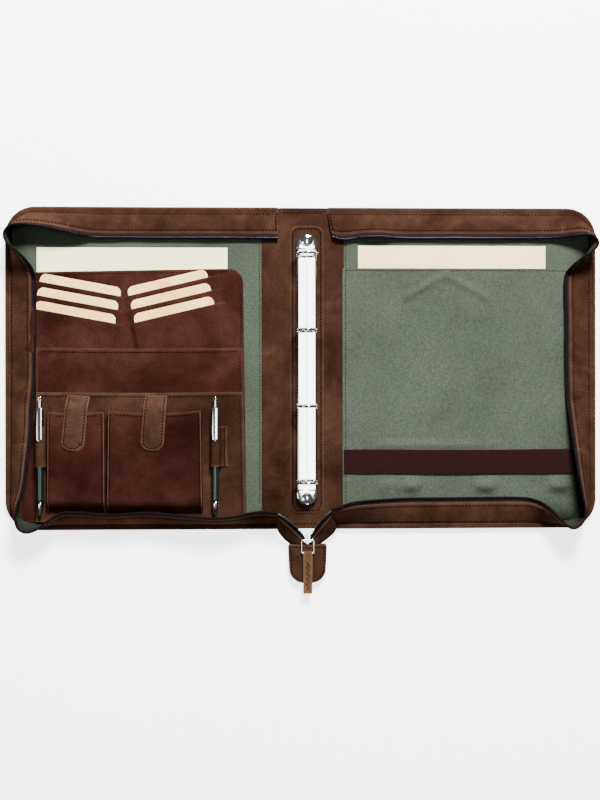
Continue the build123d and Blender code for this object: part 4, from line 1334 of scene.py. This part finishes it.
def make_flap(name, cad, body, tip_shift, lean):
    """A sewn leather tongue, from the slip pocket's mouth down over a pocket's front."""
    low, high = node_box(cad)
    cx, half = middle_and_half(cad)
    root, end = high[1], low[1]
    foot, front = low[2] + 0.9, high[2] - 0.9
    length = root - end
    r = 9.0
    v = rounded_steps(length, 1.8, 0.9)
    u = rounded_steps(2 * half, 1.6, 0.9) * 2 - 1
    g = np.zeros((len(v), len(u), 3))
    for k, t in enumerate(v):
        y = root - t * length
        past = max(end + r - y, 0)
        width = half - (r - math.sqrt(max(r * r - past * past, 0))) - 0.5 * (1 - t)
        z = foot + (front - foot) * smooth_step((root - y - 0.5) / 14)
        g[k, :, 0] = cx + tip_shift * (t - 0.5) + u * max(width, 0.6)
        g[k, :, 1] = y - lean * u
        g[k, :, 2] = z + 0.35 * np.sin(t * 5 + u * 2) - 0.25 * u * u + 0.15
    g = g[rows_facing(g)]
    piece = Piece(name)
    sheet(piece, g, 1.7, 0.9, 1.5)
    piece.finish(FLAP_LEATHER, body, [cad])
    # down one side, round the tip and up the other
    raised = g + grid_normals(g) * 0.9
    if g[0, 0, 1] < g[-1, 0, 1]:
        raised, g = raised[::-1], g[::-1]
    inset = np.argmin(np.abs(u + 1 - 2.4 / half))
    left, right = raised[3:-7, inset], raised[3:-7, -1 - inset]
    tip = g[-1, len(u) // 2]
    low_end = [
        (tip[0] + 8.6 * math.sin(b), tip[1] + 2.4 + 7.2 * (1 - math.cos(b)), tip[2] + 0.95)
        for b in np.linspace(-1.25, 1.25, 13)
    ]
    sew(f"{name}_stitches", body, np.concatenate([left, low_end, right[::-1]]))


PEN_Z = (node_box("left_pen_barrel")[0][2] + node_box("left_pen_barrel")[1][2]) / 2
CLIP_END = -77.0                        # how far down the case both clips reach


def make_pen(name):
    """A click pen: push button, chrome collar and clip, lacquered barrel, and a steel tip."""
    low, high = node_box(f"{name}_pen_barrel")
    x, _ = middle_and_half(f"{name}_pen_barrel")
    top, shoulder = high[1], low[1]
    barrel = Piece(f"{name}_pen_lower")
    lathe(barrel, [(top - 34, 3.3), (top - 34.2, 3.62), (top - 36, 3.72), (top - 60, 3.78),
                   (shoulder + 3, 3.72), (shoulder + 0.4, 3.6), (shoulder, 3.3)], x, PEN_Z)
    barrel.finish(PEN_PAINT, f"{name}_pen", [f"{name}_pen_barrel"])
    upper = Piece(f"{name}_pen_upper")
    lathe(upper, [(top - 4.2, 3.3), (top - 4.4, 3.66), (top - 18, 3.74), (top - 33.4, 3.74),
                  (top - 33.9, 3.45)], x, PEN_Z)
    upper.finish(PEN_BLACK, f"{name}_pen")
    metal = Piece(f"{name}_pen_fittings")
    lathe(metal, [(top + 0.2, 2.5), (top, 3.2), (top - 0.5, 3.75), (top - 3.6, 3.8),
                  (top - 4.3, 3.5)], x, PEN_Z)
    metal_low, metal_high = node_box(f"{name}_pen_metal")
    tip = metal_low[1]
    lathe(metal, [(shoulder + 0.2, 3.5), (shoulder - 0.3, 3.76), (shoulder - 2.2, 3.7),
                  (shoulder - 7, 3.1), (shoulder - 11.5, 2.0), (tip + 1.2, 1.15),
                  (tip + 1.0, 0.75), (tip, 0.45)], x, PEN_Z)
    # the clip: a bowed strip with a round end, its bridge, and the button under its end
    clip_z, end_r = metal_high[2] - 0.5, 2.6
    start = top - 0.4
    v = np.linspace(0, 1, 22)
    u = np.linspace(-1, 1, 9)
    g = np.zeros((len(v), len(u), 3))
    for k, t in enumerate(v):
        y = start + (CLIP_END - start) * t
        past = max(CLIP_END + end_r - y, 0)
        half = 3.2 - 0.15 * t - (end_r - math.sqrt(max(end_r**2 - past * past, 0)))
        g[k, :, 0] = x + u * max(half, 0.5)
        g[k, :, 1] = y
        g[k, :, 2] = clip_z + 0.05 - 0.25 * u * u + 0.25 * math.sin(t * math.pi)
    sheet(metal, g[rows_facing(g)], 0.9, 0.4)
    outline = rounded_box_outline(x, top - 2.3, 4.6, 3.6, 1.0, 4)
    plate(metal, outline, PEN_Z + 3.0, clip_z + 0.1, 0.3)
    stud = [(x, CLIP_END + end_r, clip_z + away) for away in (-0.2, 0.75)]
    tube(metal, stud, [1.7, 1.2], 14)
    metal.finish(CHROME, f"{name}_pen", [f"{name}_pen_metal"])
    push_low, push_high = node_box(f"{name}_pen_button")
    end = push_high[1]
    button = Piece(f"{name}_pen_push")
    lathe(button, [(end, 1.4), (end - 0.25, 2.0), (end - 1.0, 2.3), (end - 5, 2.28),
                   (push_low[1], 2.25)], x, PEN_Z)
    button.finish(CHROME, f"{name}_button", [f"{name}_pen_button"])


def make_pen_loops():
    """Leather straps bent over the pens; the right one has a foot, sewn down beside its pen."""
    low, high = node_box("pen_loops")
    r = 4.75
    for name, leather, replaces in (("left", FLAP_LEATHER, ["pen_loops"]), ("right", LEATHER, [])):
        x, _ = middle_and_half(f"{name}_pen_barrel")
        section = [(-r - 0.9, 0.6), (-r - 0.25, 2.0)]
        section += [(-r * math.cos(a), PEN_Z - POCKET_FLOOR_Z + r * math.sin(a))
                    for a in np.linspace(0.05, math.pi - 0.05, 17)]
        section += [(r + 0.25, 2.2), (r + 1.0, 1.0)]
        if name == "right":
            section += [(r + 1.0 + d, 0.9) for d in (2, 4, 6)]
        y = np.linspace(high[1], low[1], 20)
        open_foot = 1 + 0.10 * smooth_step((high[1] - y - 30) / 14)
        g = np.zeros((len(section), len(y), 3))
        for k, (dx, dz) in enumerate(section):
            g[k, :, 0] = x + dx * open_foot
            g[k, :, 1] = y
            g[k, :, 2] = POCKET_FLOOR_Z + dz + 0.25 * np.sin(y / 5.0) * (dz > 5)
        loop = Piece(f"{name}_pen_loop")
        sheet(loop, g[rows_facing(g)], 1.0, 0.6, 1.2)
        loop.finish(leather, COVER, replaces)
        if name == "right":
            line = [(x + r + 4.6, v, POCKET_FLOOR_Z + 1.45) for v in y]
            sew("pen_loop_stitches", COVER, line)


def make_paper(name, cad, body, material, corner_lift):
    """A thin sheet, a little lifted along its top edge."""
    low, high = node_box(cad)
    x = np.linspace(low[0], high[0], 50)
    y = np.linspace(low[1], high[1], 60)
    g = plan_grid(x, y, (low[2] + high[2]) / 2)
    top = smooth_step((g[..., 1] - high[1] + 26) / 26)
    g[..., 2] += corner_lift * top * (0.6 + 0.4 * np.sin(g[..., 0] / 31))
    piece = Piece(name)
    sheet(piece, g, 0.25, 0.1)
    piece.finish(material, body, [cad])


def make_organiser():
    """Everything on the left cover: panel, cards, pockets, flaps, pens and paper."""
    make_panel()
    make_cards()
    make_slip_pockets()
    make_pocket("small_pocket_leather", "small_pocket", 1.2, 0.02, 3,
                [(8, 6, 9, 0.8), (-14, -30, 10, 0.7), (12, -34, 8, -0.6)])
    make_pocket("large_pocket_leather", "large_pocket", 3.4, 0.03, 8,
                [(-22, 4, 12, 0.9), (18, -14, 13, 1.0), (-6, -38, 12, -0.8), (30, 20, 9, 0.5)])
    make_flap("small_flap_leather", "small_pocket_flap", "small_flap", -5.5, 0.6)
    make_flap("large_flap_leather", "large_pocket_flap", "large_flap", -4.0, 0.3)
    make_pen_loops()
    make_pen("left")
    make_pen("right")
    make_paper("left_paper_sheet", "left_paper", "left_sheet", PAPER, 0.5)


# ---------------------------------------------------------------- right half
POCKET_CORNER = (278.0, -142.0, 19.0)   # middle and radius of the cloth's lower outer corner
VEE_X, VEE_Y = 152.0, 99.0              # the point of the V fold under the hem


def make_right_half():
    """The cloth pocket with its hem, the elastic band, and the ruled sheet."""
    low, high = node_box("right_pocket_panel")
    band_low, band_high = node_box("elastic_band")
    start = FACING_X - 1.2
    x = np.linspace(start, high[0], 120)
    y = low[1] + (high[1] - low[1]) * rounded_steps(high[1] - low[1], 2.6, 0.7)
    z = high[2] - 0.25
    g = plan_grid(x, y, z - 0.1)
    gx, gy = g[..., 0].copy(), g[..., 1].copy()
    # slack cloth, gathers where the band pulls it, a ridge above the band, a V fold under the hem
    slack = 0.5 * wave(gx, gy, 2, 60) * np.sin(np.clip((gx - FACING_X) / 240, 0, 1) * math.pi)
    below = np.exp(-(((gy - band_low[1] + 13) / 6.5) ** 2))
    above = np.exp(-(((gy - band_high[1] - 5) / 4) ** 2))
    gathers = 3.4 * below * (np.sin(gx / 13.5) + 0.6 * np.sin(gx / 6.1 + 1))
    ridge = 1.5 * above * smooth_step((gx - 60) / 30) * smooth_step((230 - gx) / 60)
    from_vee = np.abs(gx - VEE_X)
    fold = 1.8 * np.exp(-(((gy - VEE_Y + from_vee * 0.55) / 4.5) ** 2)) * (from_vee < 45)
    held = smooth_step((gx - FACING_X) / 9)
    g[..., 2] += np.maximum(gathers + ridge + slack + fold, -0.12) * held
    round_corner(g, *POCKET_CORNER)
    # painted shade towards the outer wall, none just under the hem
    painted_wall_shade = smooth_step((g[..., 0] - 190) / 60) * smooth_step((high[1] - 20 - g[..., 1]) / 20)
    cloth = Piece("right_pocket_cloth")
    sheet(cloth, g, 0.4, 0.4, 15.0, edge_mark=painted_wall_shade)
    made = cloth.finish(TWILL, "right_cover", ["right_pocket_panel"])
    hem = [(v, high[1] - 2.4, z + 0.15) for v in np.linspace(FACING_X + 2, 284, 60)]
    side_x = FACING_X + 2.0
    side = [(side_x, v, z + 0.2) for v in np.linspace(band_high[1] + 1, high[1] - 1, 40)]
    foot = [(side_x, v, z + 0.2) for v in np.linspace(low[1] + 8, band_low[1] - 1, 12)]
    sew(
        "right_pocket_stitches", "right_cover", hem, side, foot,
        thread=LINING_THREAD, slot="lining", **LINING_STITCH,
    )

    band_x = np.linspace(FACING_X, band_high[0], 110)
    b = plan_grid(band_x, np.linspace(band_low[1], band_high[1], 12), band_high[2] - 0.1)
    b[..., 1] += 0.35 * np.sin(band_x / 37)[:, None]
    b[..., 2] += (0.8 * smooth_step((band_x - 50) / 20) + 0.25 * np.sin(band_x / 19))[:, None]
    band = Piece("elastic_band_cloth")
    sheet(band, b, 0.9, 0.4)
    made = band.finish(ELASTIC, "right_cover", ["elastic_band"])

    make_paper("right_paper_sheet", "right_paper", "right_sheet", AGED_PAPER, 0.3)


# ---------------------------------------------------------------- room, light and camera
def make_stage():
    """A white floor, a strong light beyond the top edge, two weak ones, and a camera above."""
    made, tree, shader, where = start_material(
        "white_floor", Roughness=0.9, Emission_Color=(1, 1, 1, 1), Emission_Strength=3.0
    )
    tone = ramp(tree, noise(tree, where, 3.0, 2.0), (0.3, 0.95), (0.7, 0.97))
    tree.links.new(tone, shader.inputs["Base Color"])
    bpy.ops.mesh.primitive_plane_add(size=12, location=(0, 0, -0.0005))
    floor = bpy.context.object
    floor.name = "floor"
    floor.data.materials.append(made)

    def area(name, place, target, size, power):
        data = bpy.data.lights.new(name, "AREA")
        data.shape = "RECTANGLE"
        data.size, data.size_y = size
        data.energy = power
        lamp = bpy.data.objects.new(name, data)
        lamp.location = place
        aim = Vector(target) - Vector(place)
        lamp.rotation_euler = aim.to_track_quat("-Z", "Y").to_euler()
        bpy.context.collection.objects.link(lamp)

    area("key", (0.3, 1.55, 1.5), (0, 0, 0), (0.6, 0.5), 225)
    area("fill", (-1.5, -0.5, 1.9), (0, 0, 0), (0.9, 0.9), 9)
    area("overhead", (0.1, 0.03, 2.3), (0.1, 0.03, 0), (0.46, 1.15), 13)
    # a room that is dark low down and grey overhead
    world = bpy.data.worlds.new("studio")
    bpy.context.scene.world = world
    world.use_nodes = True
    sky = world.node_tree
    background = sky.nodes["Background"]
    aim = sky.nodes.new("ShaderNodeTexCoord").outputs["Generated"]
    height = node(sky, "ShaderNodeSeparateXYZ", Vector=aim).outputs["Z"]
    tone = ramp(sky, height, (0.4, (0.01, 0.01, 0.012)), (0.97, (0.45, 0.45, 0.47)))
    sky.links.new(tone, background.inputs["Color"])
    background.inputs["Strength"].default_value = 0.3

    data = bpy.data.cameras.new("camera")
    data.lens = 55.1
    data.sensor_width = 36.0
    camera = bpy.data.objects.new("camera", data)
    camera.location = (-0.0474, -0.0298, 1.3)
    camera.rotation_euler = [math.radians(a) for a in (-0.163, -1.964, -0.075)]
    bpy.context.collection.objects.link(camera)
    bpy.context.scene.camera = camera


make_covers()
make_facing()
make_linings()
make_gussets()
make_tail()
make_end_patch()
make_pull_tab()
make_mechanism()
make_organiser()
make_right_half()
make_stage()
